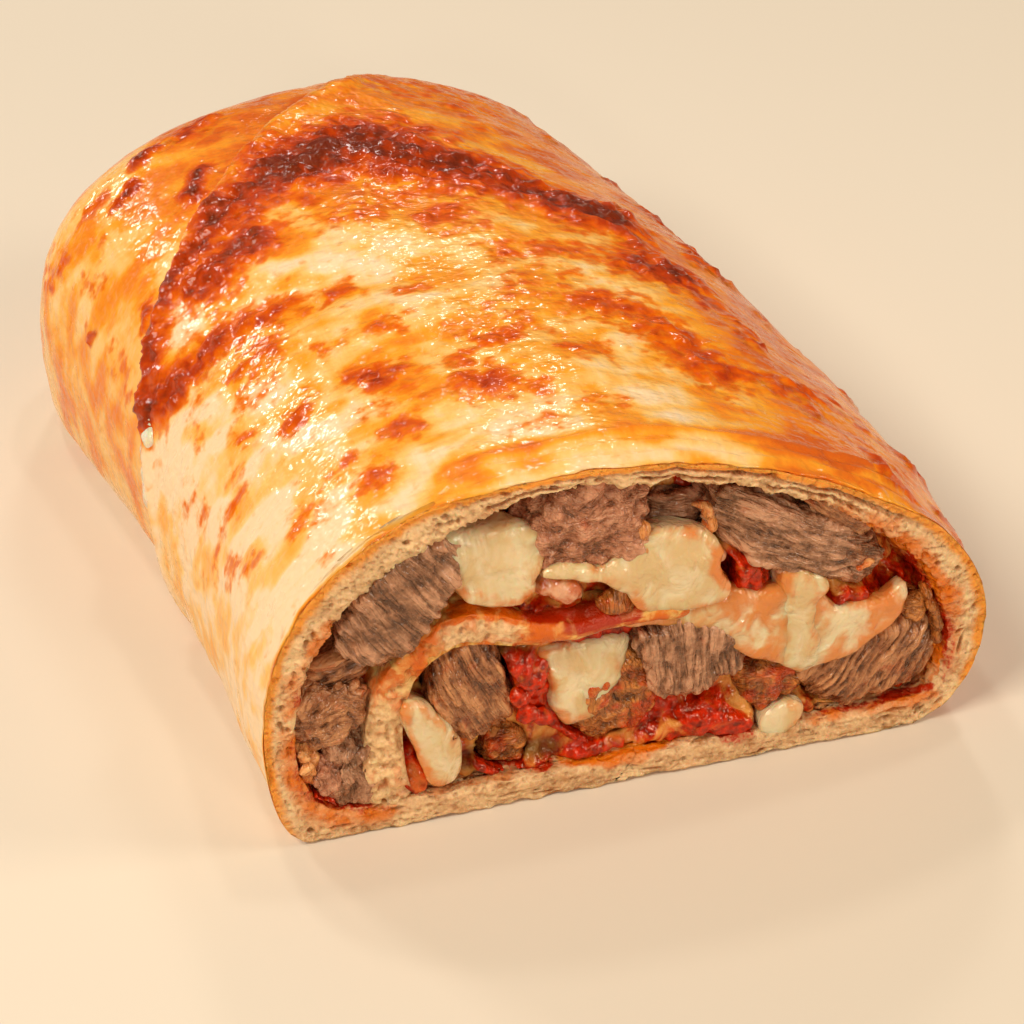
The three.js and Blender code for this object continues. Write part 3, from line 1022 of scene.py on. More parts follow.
@dataclass(frozen=True)
class CrumbFinish:
    """Torn crumb: beige and porous, golden next to the crust, stained by sauce in places, with painted shade
    in its pores and holes.
    """

    beige: Colour = paint(241, 196, 140)
    shade: Colour = paint(166, 104, 54)
    gold: Colour = paint(238, 146, 52)
    oily: Colour = paint(222, 108, 12)
    red: Colour = paint(176, 34, 2)

    def make(self) -> Material:
        """Builds the material.

        Returns:
            The material.
        """
        recipe = Recipe("torn_crumb")
        fine = recipe.noise(0.9, 3.0, 0.6)
        broad = recipe.noise(5.0, 4.0, 0.6, 0.4)
        # Painted shade: the crumb is darkened in its pores, layer gaps and cell holes, where shade falls,
        # and towards the bottom; the noise adds random tone.
        holes = recipe.spread(recipe.cells(1.3), 0.12, 0.5)
        pore = recipe.attribute("pore")
        dark = recipe.add(pore, recipe.spread(fine, 0.35, 0.7, 0.24, -0.12))
        dark = recipe.add(dark, recipe.vary(broad, -0.12, 0.3))
        dark = recipe.add(dark, recipe.spread(holes, 0.0, 0.6, 0.16, 0.0))
        body = recipe.blend(dark, self.beige, self.shade)
        rim = recipe.add(recipe.attribute("rim"), recipe.vary(broad, -0.2, 0.2))
        body = recipe.blend(recipe.spread(rim, 0.15, 0.85), body, self.gold)
        oil = recipe.add(recipe.attribute("oil"), recipe.vary(broad, -0.2, 0.2))
        body = recipe.blend(recipe.spread(oil, 0.1, 0.9), body, self.oily)
        stain = recipe.add(recipe.attribute("stain"), recipe.vary(fine, -0.25, 0.2))
        colour = recipe.blend(recipe.spread(stain, 0.2, 0.8), body, self.red)
        wet = recipe.reckon("MAXIMUM", recipe.attribute("stain"), recipe.attribute("oil"))
        roughness = recipe.spread(wet, 0.1, 0.7, 0.5, 0.2)
        normal = recipe.bump(fine, 0.35, recipe.bump(holes, 0.35))
        return recipe.finish(
            colour, roughness, normal, Specular_IOR_Level=0.45, Specular_Tint=WARM_SHINE, Coat_Weight=0.12,
            Coat_Roughness=0.07, Subsurface_Weight=0.3, Subsurface_Scale=0.003,
        )


@dataclass(frozen=True)
class FoldFinish:
    """Soaked inner dough: pale yellow under a film of orange oil and red sauce."""

    pale: Colour = paint(240, 190, 100)
    shade: Colour = paint(220, 134, 40)
    crumb: Colour = paint(244, 198, 140)
    # pit_shade is painted shade for the holes of the crumb face.
    pit_shade: Colour = paint(170, 106, 54)
    oily: Colour = paint(216, 94, 4)
    red: Colour = paint(172, 30, 0)

    def make(self) -> Material:
        """Builds the material.

        Returns:
            The material.
        """
        recipe = Recipe("soaked_dough")
        fine = recipe.noise(0.8, 4.0, 0.62)
        broad = recipe.noise(4.0, 4.0, 0.6, 0.6)
        body = recipe.blend(recipe.spread(broad, 0.35, 0.65), self.pale, self.shade)
        # Painted shade: the crumb face is darkened in its cell holes, where shade falls; the fine noise adds
        # random tone.
        holes = recipe.spread(recipe.cells(1.5), 0.1, 0.5)
        dark = recipe.spread(fine, 0.35, 0.75, 0.0, 0.5)
        dark = recipe.add(dark, recipe.spread(holes, 0.0, 0.7, 0.5, 0.0))
        cut = recipe.blend(dark, self.crumb, self.pit_shade)
        body = recipe.blend(recipe.attribute("cut"), body, cut)
        oil = recipe.add(recipe.attribute("oil"), recipe.vary(broad, -0.35, 0.3))
        body = recipe.blend(recipe.spread(oil, 0.05, 0.8), body, self.oily)
        stain = recipe.add(recipe.attribute("stain"), recipe.vary(broad, -0.3, 0.2))
        colour = recipe.blend(recipe.spread(stain, 0.1, 0.9), body, self.red)
        roughness = recipe.spread(recipe.attribute("cut"), 0.2, 0.9, 0.2, 0.5)
        normal = recipe.bump(fine, 0.25, recipe.bump(broad, 1.0))
        return recipe.finish(
            colour, roughness, normal, Specular_Tint=WARM_SHINE, Coat_Weight=0.4, Coat_Roughness=0.05,
            Subsurface_Weight=0.2, Subsurface_Scale=0.003,
        )


@dataclass(frozen=True)
class SauceFinish:
    """Cooked tomato sauce with oil and melted cheese in it, wet and glossy."""

    deep: Colour = paint(112, 10, 0)
    bright: Colour = paint(214, 38, 0)
    oily: Colour = paint(206, 84, 6)
    creamy: Colour = paint(228, 160, 76)
    # Painted shade: the near-black put in the gaps between the chunks and under the roof, where only shade
    # falls.
    dark: Colour = paint(40, 14, 4)

    def make(self) -> Material:
        """Builds the material.

        Returns:
            The material.
        """
        recipe = Recipe("tomato_sauce")
        fine = recipe.noise(1.5, 2.0, 0.5)
        broad = recipe.noise(5.5, 4.0, 0.6, 0.8)
        red = recipe.ramp(fine, ((0.3, self.deep), (0.66, self.bright)))
        kind = recipe.add(recipe.attribute("cheesy"), recipe.spread(broad, 0.3, 0.72, -0.26, 0.34))
        pale = recipe.ramp(kind, ((0.2, self.oily), (0.75, self.creamy)))
        colour = recipe.blend(recipe.spread(kind, 0.12, 0.5), red, pale)
        # Painted shade: hidden turns the sauce near-black in the gaps.
        colour = recipe.blend(recipe.attribute("hidden"), colour, self.dark)
        roughness = recipe.vary(fine, 0.12, 0.24)
        normal = recipe.bump(fine, 0.5, recipe.bump(broad, 0.8))
        return recipe.finish(
            colour, roughness, normal, Specular_IOR_Level=0.4, Specular_Tint=WARM_SHINE, Coat_Weight=0.3,
            Coat_Roughness=0.04, Subsurface_Weight=0.08, Subsurface_Scale=0.002,
        )


@dataclass(frozen=True)
class BeefFinish:
    """Cooked beef: grey-brown fibres, moist, with painted highlight on their raised backs and painted shade
    in the grooves.
    """

    name: str = "cooked_beef"
    # The ridge colour is a painted highlight and the groove colour painted shade.
    ridge: Colour = paint(204, 144, 104)
    flesh: Colour = paint(144, 92, 60)
    shaded_groove: Colour = paint(86, 46, 26)
    tint: Colour = paint(216, 140, 80)
    tinted: float = 0.2
    roughness: float = 0.22
    coat: float = 0.6

    def make(self) -> Material:
        """Builds the material.

        Returns:
            The material.
        """
        recipe = Recipe(self.name)
        strand = recipe.attribute("strand", "Vector")
        fine = recipe.noise(0.9, 2.0, 0.5)
        broad = recipe.noise(5.0, 3.0, 0.55, 0.4)
        thread = recipe.noise((0.8, 5.6, 3.4), 2.0, 0.5, 0.2, strand)
        thread = recipe.reckon("ABSOLUTE", recipe.reckon("SUBTRACT", thread, 0.5))
        # Painted light and shade: lighter on the fibres' raised backs, darker down the thread grooves; the
        # noise adds random tone.
        relief = recipe.add(recipe.attribute("ridge"), recipe.spread(thread, 0.0, 0.1, -0.13, 0.05))
        relief = recipe.add(relief, recipe.vary(fine, -0.1, 0.1))
        relief = recipe.add(relief, recipe.vary(broad, -0.14, 0.16))
        body = recipe.ramp(relief, ((0.1, self.shaded_groove), (0.42, self.flesh), (0.9, self.ridge)))
        warm = recipe.spread(broad, 0.75 - 0.5 * self.tinted, 0.95 - 0.5 * self.tinted)
        colour = recipe.blend(warm, body, recipe.blend(1.0, body, self.tint, "MULTIPLY"))
        rough = recipe.vary(fine, self.roughness - 0.08, self.roughness + 0.1)
        normal = recipe.bump(recipe.spread(thread, 0.0, 0.12), 0.2, recipe.bump(fine, 0.34))
        return recipe.finish(
            colour, rough, normal, Specular_IOR_Level=0.5, Specular_Tint=WARM_SHINE, Coat_Weight=self.coat,
            Coat_Roughness=0.05, Subsurface_Weight=0.1, Subsurface_Scale=0.0015,
        )


@dataclass(frozen=True)
class CheeseFinish:
    """Melted mozzarella: pale cream, smooth, soft and wet."""

    name: str = "melted_cheese"
    cream: Colour = paint(230, 204, 156)
    butter: Colour = paint(216, 174, 112)
    stain: Colour = paint(220, 118, 30)

    def make(self) -> Material:
        """Builds the material.

        Returns:
            The material.
        """
        recipe = Recipe(self.name)
        broad = recipe.noise((5.0, 5.0, 8.0), 3.0, 0.5, 0.8)
        fine = recipe.noise(1.6, 3.0, 0.5)
        body = recipe.blend(recipe.spread(broad, 0.38, 0.62, 0.0, 0.75), self.cream, self.butter)
        soaked = recipe.add(recipe.attribute("edge"), recipe.vary(broad, -0.3, 0.25))
        soaked = recipe.add(soaked, recipe.vary(fine, -0.1, 0.1))
        colour = recipe.blend(recipe.spread(soaked, 0.24, 0.95, 0.0, 0.85), body, self.stain)
        normal = recipe.bump(fine, 0.4, recipe.bump(broad, 1.4))
        return recipe.finish(
            colour, recipe.vary(fine, 0.14, 0.26), normal, Specular_Tint=WARM_SHINE,
            Coat_Weight=0.7, Coat_Roughness=0.05, Subsurface_Weight=0.5, Subsurface_Scale=0.005,
        )


@dataclass(frozen=True)
class OnionFinish:
    """Soft cooked onion, glazed pink to orange."""

    pink: Colour = paint(222, 158, 112)
    glaze: Colour = paint(196, 92, 30)

    def make(self) -> Material:
        """Builds the material.

        Returns:
            The material.
        """
        recipe = Recipe("glazed_onion")
        broad = recipe.noise(3.5, 3.0, 0.55, 0.4)
        fine = recipe.noise(0.8, 3.0, 0.55)
        colour = recipe.blend(recipe.spread(broad, 0.38, 0.62), self.pink, self.glaze)
        return recipe.finish(
            colour, recipe.vary(fine, 0.16, 0.3), recipe.bump(fine, 0.2),
            Coat_Weight=0.9, Coat_Roughness=0.07, Subsurface_Weight=0.3, Subsurface_Scale=0.003,
        )


@dataclass(frozen=True)
class FloorFinish:
    """A plain pale matt floor."""

    pale: Colour = paint(230, 212, 186)
    shade: Colour = paint(224, 204, 176)

    def make(self) -> Material:
        """Builds the material.

        Returns:
            The material.
        """
        recipe = Recipe("pale_floor")
        broad = recipe.noise(400.0, 2.0)
        return recipe.finish(recipe.blend(broad, self.pale, self.shade), 0.7)


# ---- crust

AROUND = 1.15  # millimetres of crust to a degree of turn


@dataclass(frozen=True)
class Scorches:
    """Where the crust is browned: strokes in degrees of turn and millimetres from the cut."""

    arc: tuple[Stroke, ...] = strokes(
        (-67, 91, -58, 100, 5.4, 0.78), (-58, 101, -47, 109, 5.6, 0.72), (-43, 110, -28, 116, 6.6, 0.78),
        (-40, 104, -22, 105, 6.3, 0.82), (-26, 118, -6, 125, 8.4, 0.84), (-8, 125, 8, 126, 12.6, 0.95),
        (10, 119, 18, 113, 12.0, 0.84), (18, 110, 26, 103, 9.6, 0.72), (26, 102, 35, 91, 9.4, 0.82),
        (35, 89, 37, 68, 5.9, 0.56), (37, 66, 43, 51, 5.9, 0.5),
    )
    band: tuple[Stroke, ...] = strokes(
        (-68, 91, -60, 88, 6.6, 0.76), (-58, 87, -44, 85, 6.0, 0.68), (-42, 85, -26, 80, 5.5, 0.6),
    )
    right: tuple[Stroke, ...] = strokes(
        (32, 94, 36, 90, 7.0, 0.9), (32, 71, 37, 68, 7.0, 0.85), (26, 44, 30, 32, 7.0, 0.56),
        (20, 55, 26, 47, 6.0, 0.48), (19, 76, 22, 76, 5.0, 0.46), (48, 98, 52, 92, 6.5, 0.4),
        (50, 30, 56, 26, 7.0, 0.4), (59, 24, 64, 19, 6.0, 0.34), (15, 57, 18, 55, 4.5, 0.45),
        (17, 160, 55, 152, 14.0, 0.4), (15, 178, 60, 170, 12.0, 0.55),
    )
    spots: tuple[Stroke, ...] = strokes(
        (-21, 46, -19, 45, 5.4, 0.72), (-39, 48, -37, 48, 4.6, 0.6), (-22, 27, -20, 27, 4.4, 0.5),
        (0, 46, 2, 46, 4.2, 0.52), (-7, 33, -3, 33, 5.0, 0.62), (-31, 17, -29, 17, 4.6, 0.5),
        (-63, 45, -62, 45, 4.0, 0.4), (-70, 33, -69, 33, 3.6, 0.36), (11, 77, 13, 77, 4.6, 0.46),
        (6, 94, 10, 94, 5.0, 0.55), (-15, 60, -12, 60, 4.0, 0.42), (-19, 77, -15, 77, 4.4, 0.46),
        (-7, 41, -5, 41, 4.0, 0.42), (0, 29, 2, 29, 4.2, 0.45), (11, 39, 13, 39, 4.6, 0.42),
        (9, 21, 11, 21, 4.0, 0.36), (-34, 27, -32, 27, 4.0, 0.34), (-45, 72, -35, 71, 4.8, 0.46),
        (-27, 62, -23, 62, 4.2, 0.36), (-51, 55, -48, 55, 4.0, 0.34), (-76, 64, -74, 64, 4.0, 0.3),
        (-4, 100, 6, 104, 6.0, 0.4), (-48, 20, -44, 20, 5.0, 0.3),
    )
    far: tuple[Stroke, ...] = strokes(
        (-29, 157, -24, 157, 3.6, 0.92), (-26, 134, -22, 140, 4.0, 0.95), (-42, 149, -34, 151, 2.4, 0.85),
        (-73, 133, -71, 133, 2.2, 0.8), (-57, 114, -54, 116, 2.4, 0.7), (-58, 100, -55, 104, 2.6, 0.7),
        (-65, 154, -61, 154, 3.0, 0.45), (-16, 156, -9, 158, 5.0, 0.66), (-70, 158, -67, 158, 3.2, 0.45),
        (-49, 157, -43, 157, 3.8, 0.45), (-74, 176, -70, 176, 3.6, 0.55), (-49, 175, -42, 175, 4.0, 0.45),
    )

    def on_sheet(self, widen: float) -> tuple[Stroke, ...]:
        """The strokes on the overlapping sheet, their turn made millimetres."""
        return self.stretched((*self.arc, *self.band, *self.right, *self.spots), widen)

    def beyond(self, widen: float) -> tuple[Stroke, ...]:
        """The strokes past the sheet's edge, their turn made millimetres."""
        return self.stretched(self.far, widen)

    def stretched(self, scorches: tuple[Stroke, ...], widen: float) -> tuple[Stroke, ...]:
        """The strokes with their turn made millimetres and their reach widened."""
        return tuple(
            Stroke(
                (one.start[0] * AROUND, one.start[1]), (one.end[0] * AROUND, one.end[1]),
                one.reach * widen, one.amount,
            )
            for one in scorches
        )


@dataclass(frozen=True)
class Crust:
    """The baked outer shell, with its rim at the cut. Millimetres."""

    columns: int = 360
    cap_rows: int = 40
    straight_rows: int = 176
    rim_rows: int = 3
    inside_rows: int = 12
    seam_distance: float = 144.5
    seam_slope: float = 0.73
    seam_step: float = 3.0
    rim: float = 0.4
    recess: float = 2.6
    glow_width: float = 1.9
    layer: float = 0.5
    layer_distances: Triple = (2.4, 5.2, 8.6)
    lining: float = 0.8
    scorches: Scorches = Scorches()

    def turn_at(self, share: Array) -> Array:
        """The turn at a share of the way round, with more of the mesh on the dome."""
        ends = (0.0, 0.09, 0.14, 0.86, 0.91, 1.0)
        return np.interp(share, ends, (-180.0, -90.0 - HEEL_TURN, -90.0, 90.0, 90.0 + HEEL_TURN, 180.0))

    def browning(self, turn: Array, y: Array, widen: float = 1.0) -> Array:
        """How strongly the crust is browned.

        Args:
            turn: Turn from the top.
            y: Distance from the cut.
            widen: How much wider each scorch is made, as for the glow round it.

        Returns:
            Numbers from 0 to 1.
        """
        places = ROLL.on_crust(turn, y)
        across = turn * AROUND + 1.6 * Unevenness(21).rough(places, 9.0, 3)
        along = y + 1.2 * Unevenness(23).rough(places, 8.0, 3)
        ragged = 0.34 * Unevenness(22).rough(places, (7.0, 6.0, 7.0), 3)
        total = np.zeros(len(y))
        past = self.past_seam(turn, y)
        on_sheet = np.where(turn < 14.0, smooth(past, 1.0, -0.6), 1.0)
        for stroke in self.scorches.on_sheet(widen):
            total += (stroke.glow(across, along, ragged) * on_sheet) ** 4
        for stroke in self.scorches.beyond(widen):
            total += (stroke.glow(across, along, ragged) * smooth(past, -0.6, 1.0)) ** 4
        streaks = Unevenness(24).rough(places, (11.0, 9.0, 11.0), 2)
        right = smooth(turn, 14.0, 40.0) * smooth(np.abs(turn), 112.0, 84.0)
        dapple = smooth(streaks, 0.05, 0.9) * (0.26 + 0.3 * right) * smooth(np.abs(turn), 96.0, 66.0)
        return np.clip((total + dapple**4) ** 0.25, 0.0, 1.0) * (1.0 - 0.75 * self.peeled(turn, y))

    def past_seam(self, turn: Array, y: Array) -> Array:
        """Distance beyond the edge of the overlapping sheet, in millimetres."""
        wobble = Unevenness(31).rough(ROLL.on_crust(turn, y), 11.0, 3)
        return y + 2.2 * wobble - (self.seam_distance + self.seam_slope * turn)

    def layer_edges(self, turn: Array, y: Array) -> list[Array]:
        """How far points lie beyond the edges of the flaky layers.

        Args:
            turn: Turn from the top.
            y: Distance from the cut.

        Returns:
            For each layer, distances in millimetres.
        """
        edges = []
        for step, distance in enumerate(self.layer_distances):
            line = points_at(turn * AROUND, 0.12 * y, 90.0 * step)
            edges.append(y - distance - 1.7 * Unevenness(38).rough(line, 15.0, 4))
        return edges

    def flaky(self, turn: Array) -> Array:
        """Where round the roll the crust flakes in layers at the cut, from 0 to 1."""
        return smooth(turn, -26.0, -6.0) * smooth(turn, 62.0, 46.0)

    def peeled(self, turn: Array, y: Array) -> Array:
        """How much of the flaky layers is gone, from 0 to 1."""
        edges = self.layer_edges(turn, y)
        gone = sum(smooth(edge, 0.3, -0.3) for edge in edges) / len(edges)
        return gone * self.flaky(turn)

    def tone(self, turn: Array, y: Array, warmth: Array) -> Array:
        """The ground colour under the browning: 0 is cream and 1 is orange-brown.

        Args:
            turn: Turn from the top.
            y: Distance from the cut.
            warmth: The glow round the scorches.

        Returns:
            Numbers from 0 to 1.
        """
        wander = Unevenness(25).rough(ROLL.on_crust(turn, y), 26.0, 3)
        left = 0.16 * smooth(turn + 7.0 * wander, -56.0, -82.0)
        right = 0.66 * smooth(turn + 8.0 * wander, 6.0, 40.0)
        far = (0.46 + 0.24 * smooth(turn, -40.0, 0.0)) * smooth(self.past_seam(turn, y), -1.0, 3.0)
        far = far * smooth(turn, 30.0, 10.0)
        arc = 0.5 * smooth(y + 0.3 * turn + 8.0 * wander, 84.0, 116.0)
        rim = 0.14 * smooth(y, 14.0, 5.0) * smooth(y, 1.0, 4.0) * smooth(np.abs(turn), 96.0, 60.0)
        low = 0.2 * smooth(turn, 70.0, 96.0)
        under = smooth(np.abs(turn), 92.0, 112.0)
        # More golden over the top; towards the left the tone is pulled paler, a painted sheen.
        golden = 0.22 * smooth(turn, -46.0, -14.0) - 0.06
        tone = np.maximum.reduce([left, right - low, far, arc, rim, 0.5 * warmth]) + 0.12 * wander
        layered = np.minimum(1.6 * self.peeled(turn, y), 1.0)
        line = np.exp(-(((y - self.layer_distances[2] - 1.5) / 1.6) ** 2)) * self.flaky(turn)
        near = 0.3 * smooth(y, 14.0, 6.0) * self.flaky(turn)
        tone = (tone + golden + near + 0.04 + 0.4 * line) * (1.0 - 0.42 * layered) * (1.0 - 0.5 * under)
        cut_edge = 0.64 * smooth(y, 2.2, 0.4) * (1.0 - 0.5 * self.flaky(turn)) * (1.0 - 0.6 * under)
        return np.clip(np.maximum(tone, cut_edge), 0.0, 1.0)

    def relief(self, turn: Array, y: Array, browning: Array) -> Array:
        """Height of the crust over its plain form.

        Args:
            turn: Turn from the top.
            y: Distance from the cut.
            browning: The browning there.

        Returns:
            Heights in millimetres.
        """
        flat = ROLL.on_crust(turn, y)
        past = self.past_seam(turn, y)
        fade = smooth(turn, 30.0, 12.0) * smooth(np.abs(turn), 112.0, 92.0)
        sheet = smooth(past, 0.9, -0.6)
        lip = np.exp(-(((past + 2.4) / 2.4) ** 2))
        from_edge = np.exp(-((np.maximum(-past, 0.0) / 26.0) ** 2))
        height = self.seam_step * fade * (from_edge * (sheet - 0.5) + 0.35 * lip)
        _, _, tag = Unevenness(32).nodules(flat, 3.6)
        bubbles, _, _ = Unevenness(33).nodules(flat, (3.4, 3.0, 3.4))
        blister = smooth(browning, 0.2, 0.8)
        height += blister * (0.9 + 0.5 * tag + 1.9 * (0.5 - bubbles))
        height += 0.9 * Unevenness(34).at(flat, 34.0) + 0.6 * Unevenness(35).at(flat, 13.0)
        height += (0.26 + 0.3 * blister) * Unevenness(36).rough(flat, (6.0, 4.5, 6.0), 4)
        calm = smooth(np.abs(turn), 90.0 + HEEL_TURN, 92.0) * smooth(y, -0.5, 5.0)
        height = height * np.where(y < 6.0, 0.35 + 0.65 * calm, 1.0) * smooth(np.abs(turn), 114.0, 96.0)
        for edge in self.layer_edges(turn, y):
            curl = 0.35 * np.exp(-(((edge - 0.7) / 0.8) ** 2))
            height += self.flaky(turn) * (curl - self.layer * smooth(edge, 0.3, -0.3))
        return np.where(np.abs(turn) > 90.0 + HEEL_TURN, 0.0, height)

    def lay(self, across: Array, along: Array) -> Patch:
        """Lays out the shell: from the closed end to the cut, over the rim and back inside.

        Args:
            across: Share of the way round.
            along: Share of the way from the closed end.

        Returns:
            The points and their numbers.
        """
        turn = self.turn_at(across)
        row = np.round(along * self.rows()).astype(int)
        cap = np.arange(self.cap_rows) / self.cap_rows
        outer = np.concatenate([
            ROLL.length - ROLL.end_cap * (1.0 - np.cos(cap * np.pi / 2.0)),
            np.linspace(ROLL.length - ROLL.end_cap, 0.0, self.straight_rows + 1),
        ])
        rim_y = np.array([0.2, 0.5, self.recess])
        rim_inset = np.array([0.5 * self.rim, self.rim, self.rim])
        inside_length = ROLL.length - ROLL.end_wall
        straight = [self.recess, 30.0, 70.0, 110.0]
        closing = np.linspace(0.0, 1.0, self.inside_rows - len(straight)) * np.pi / 2.0
        inside = np.concatenate([straight, inside_length - ROLL.hollow_cap * (1.0 - np.sin(closing))])
        y = np.concatenate([outer, rim_y, inside])[row]
        is_inside = row >= len(outer) + len(rim_y)
        is_outer = row < len(outer)
        inset = np.concatenate([np.zeros(len(outer)), rim_inset, np.zeros(len(inside))])[row]
        browning = self.browning(turn, y)
        flaked = self.layer * len(self.layer_distances) * self.peeled(turn, np.minimum(y, 1.0))
        rise = np.where(is_outer, self.relief(turn, y, browning), -inset - flaked)
        edge = points_at(turn * AROUND)
        ragged = 0.5 + 0.7 * Unevenness(39).rough(edge, 5.0, 4) + 1.3 * smooth(np.abs(turn), 100.0, 116.0)
        shell = ROLL.on_crust(turn, y + np.clip(ragged, 0.0, 2.2) * smooth(y, 7.0, 0.0), rise)
        shell[:, 2] = np.maximum(shell[:, 2], 0.0)
        wall = ROLL.in_hollow(turn, y, self.lining * smooth(y, inside_length, 60.0))
        places = np.where(is_inside[:, None], wall, shell)
        gleam = smooth(Unevenness(37).at(shell, 24.0), -0.4, 0.5)
        tone = self.tone(turn, y, self.browning(turn, y, self.glow_width))
        return Patch(places, {"browning": browning, "tone": tone, "gleam": gleam})

    def rows(self) -> int:
        """Rows of faces from the closed end to the hollow's end."""
        return self.cap_rows + self.straight_rows + self.rim_rows + self.inside_rows

    def build(self) -> Piece:
        """Builds and dresses the shell."""
        mesh = lay_sheet("crust", self.columns, self.rows(), self.lay)
        return add_piece(mesh, CrustFinish().make(), ("dough",))


# ---- stains on the cut


@dataclass(frozen=True)
class Stains:
    """Where sauce and oil show, as strokes on the plane of the cut, in millimetres."""

    red: tuple[Stroke, ...] = strokes(
        (-20, 46, -2, 42, 3.4, 1.0), (-12, 42, -6, 42.5, 4.6, 1.0), (16, 49, 25, 41.5, 4.6, 1.0),
        (38, 37, 47, 36.4, 2.8, 1.0), (51, 42, 61.5, 23, 2.8, 1.0), (62.5, 20, 63, 9, 1.7, 0.8),
        (-23, 35, -20.5, 25, 4.6, 1.0), (-18, 22, -11, 16.5, 2.4, 1.0), (13, 16, 20, 6, 4.2, 1.0),
        (-12, 11.5, -4, 12.0, 1.8, 0.7), (50, 9.2, 59.5, 9.4, 1.5, 1.0), (37, 8.2, 50, 8, 1.2, 0.6),
        (-45, 21, -43, 12.5, 2.2, 0.8), (-63, 12.6, -46.5, 3, 2.1, 0.75), (-66, 25, -65, 13, 1.8, 0.6),
        (-58.5, 43, -63.5, 35.5, 2.2, 0.8), (-33, 54, -22, 48, 1.7, 0.7), (-30, 14, -18, 9, 2.6, 0.8),
    )
    oil: tuple[Stroke, ...] = strokes(
        (-46, 38, -34, 49, 4.5, 0.6), (-34, 49, -16, 40, 4.5, 0.8), (-6, 40, 8, 37, 4.0, 0.6),
        (12, 38, 28, 30, 3.5, 0.8), (34, 32, 46, 24, 5.0, 0.8), (47, 34, 53, 23, 4.0, 0.85),
        (-54, 41, -48, 31, 3.5, 0.75), (45, 54, 62, 30, 4.4, 0.75), (-14, 10, 0, 6, 3.2, 0.9),
        (-2, 8, 12, 13, 3.4, 1.0), (-68, 26, -62, 6, 4.6, 0.8), (-64, 7, -46, 2, 3.6, 0.8),
        (-58, 50, -67, 34, 3.4, 0.6), (36, 7, 60, 7, 2.2, 0.6), (62, 27, 65, 10, 2.6, 0.3),
    )

    def read(self, points: Array) -> tuple[Array, Array]:
        """The stains on points near the cut.

        Args:
            points: Points in millimetres from the cut's middle.

        Returns:
            Red sauce and orange oil, from 0 to 1.
        """
        x, z = VIEW.on_cut(points)
        ragged = 0.4 * Unevenness(41).rough(points, 4.5, 4)
        near = smooth(points[:, 1], 26.0, 14.0)
        return cover_of(self.red, x, z, ragged) * near, cover_of(self.oil, x, z, ragged) * near


STAINS = Stains()


# ---- crumb


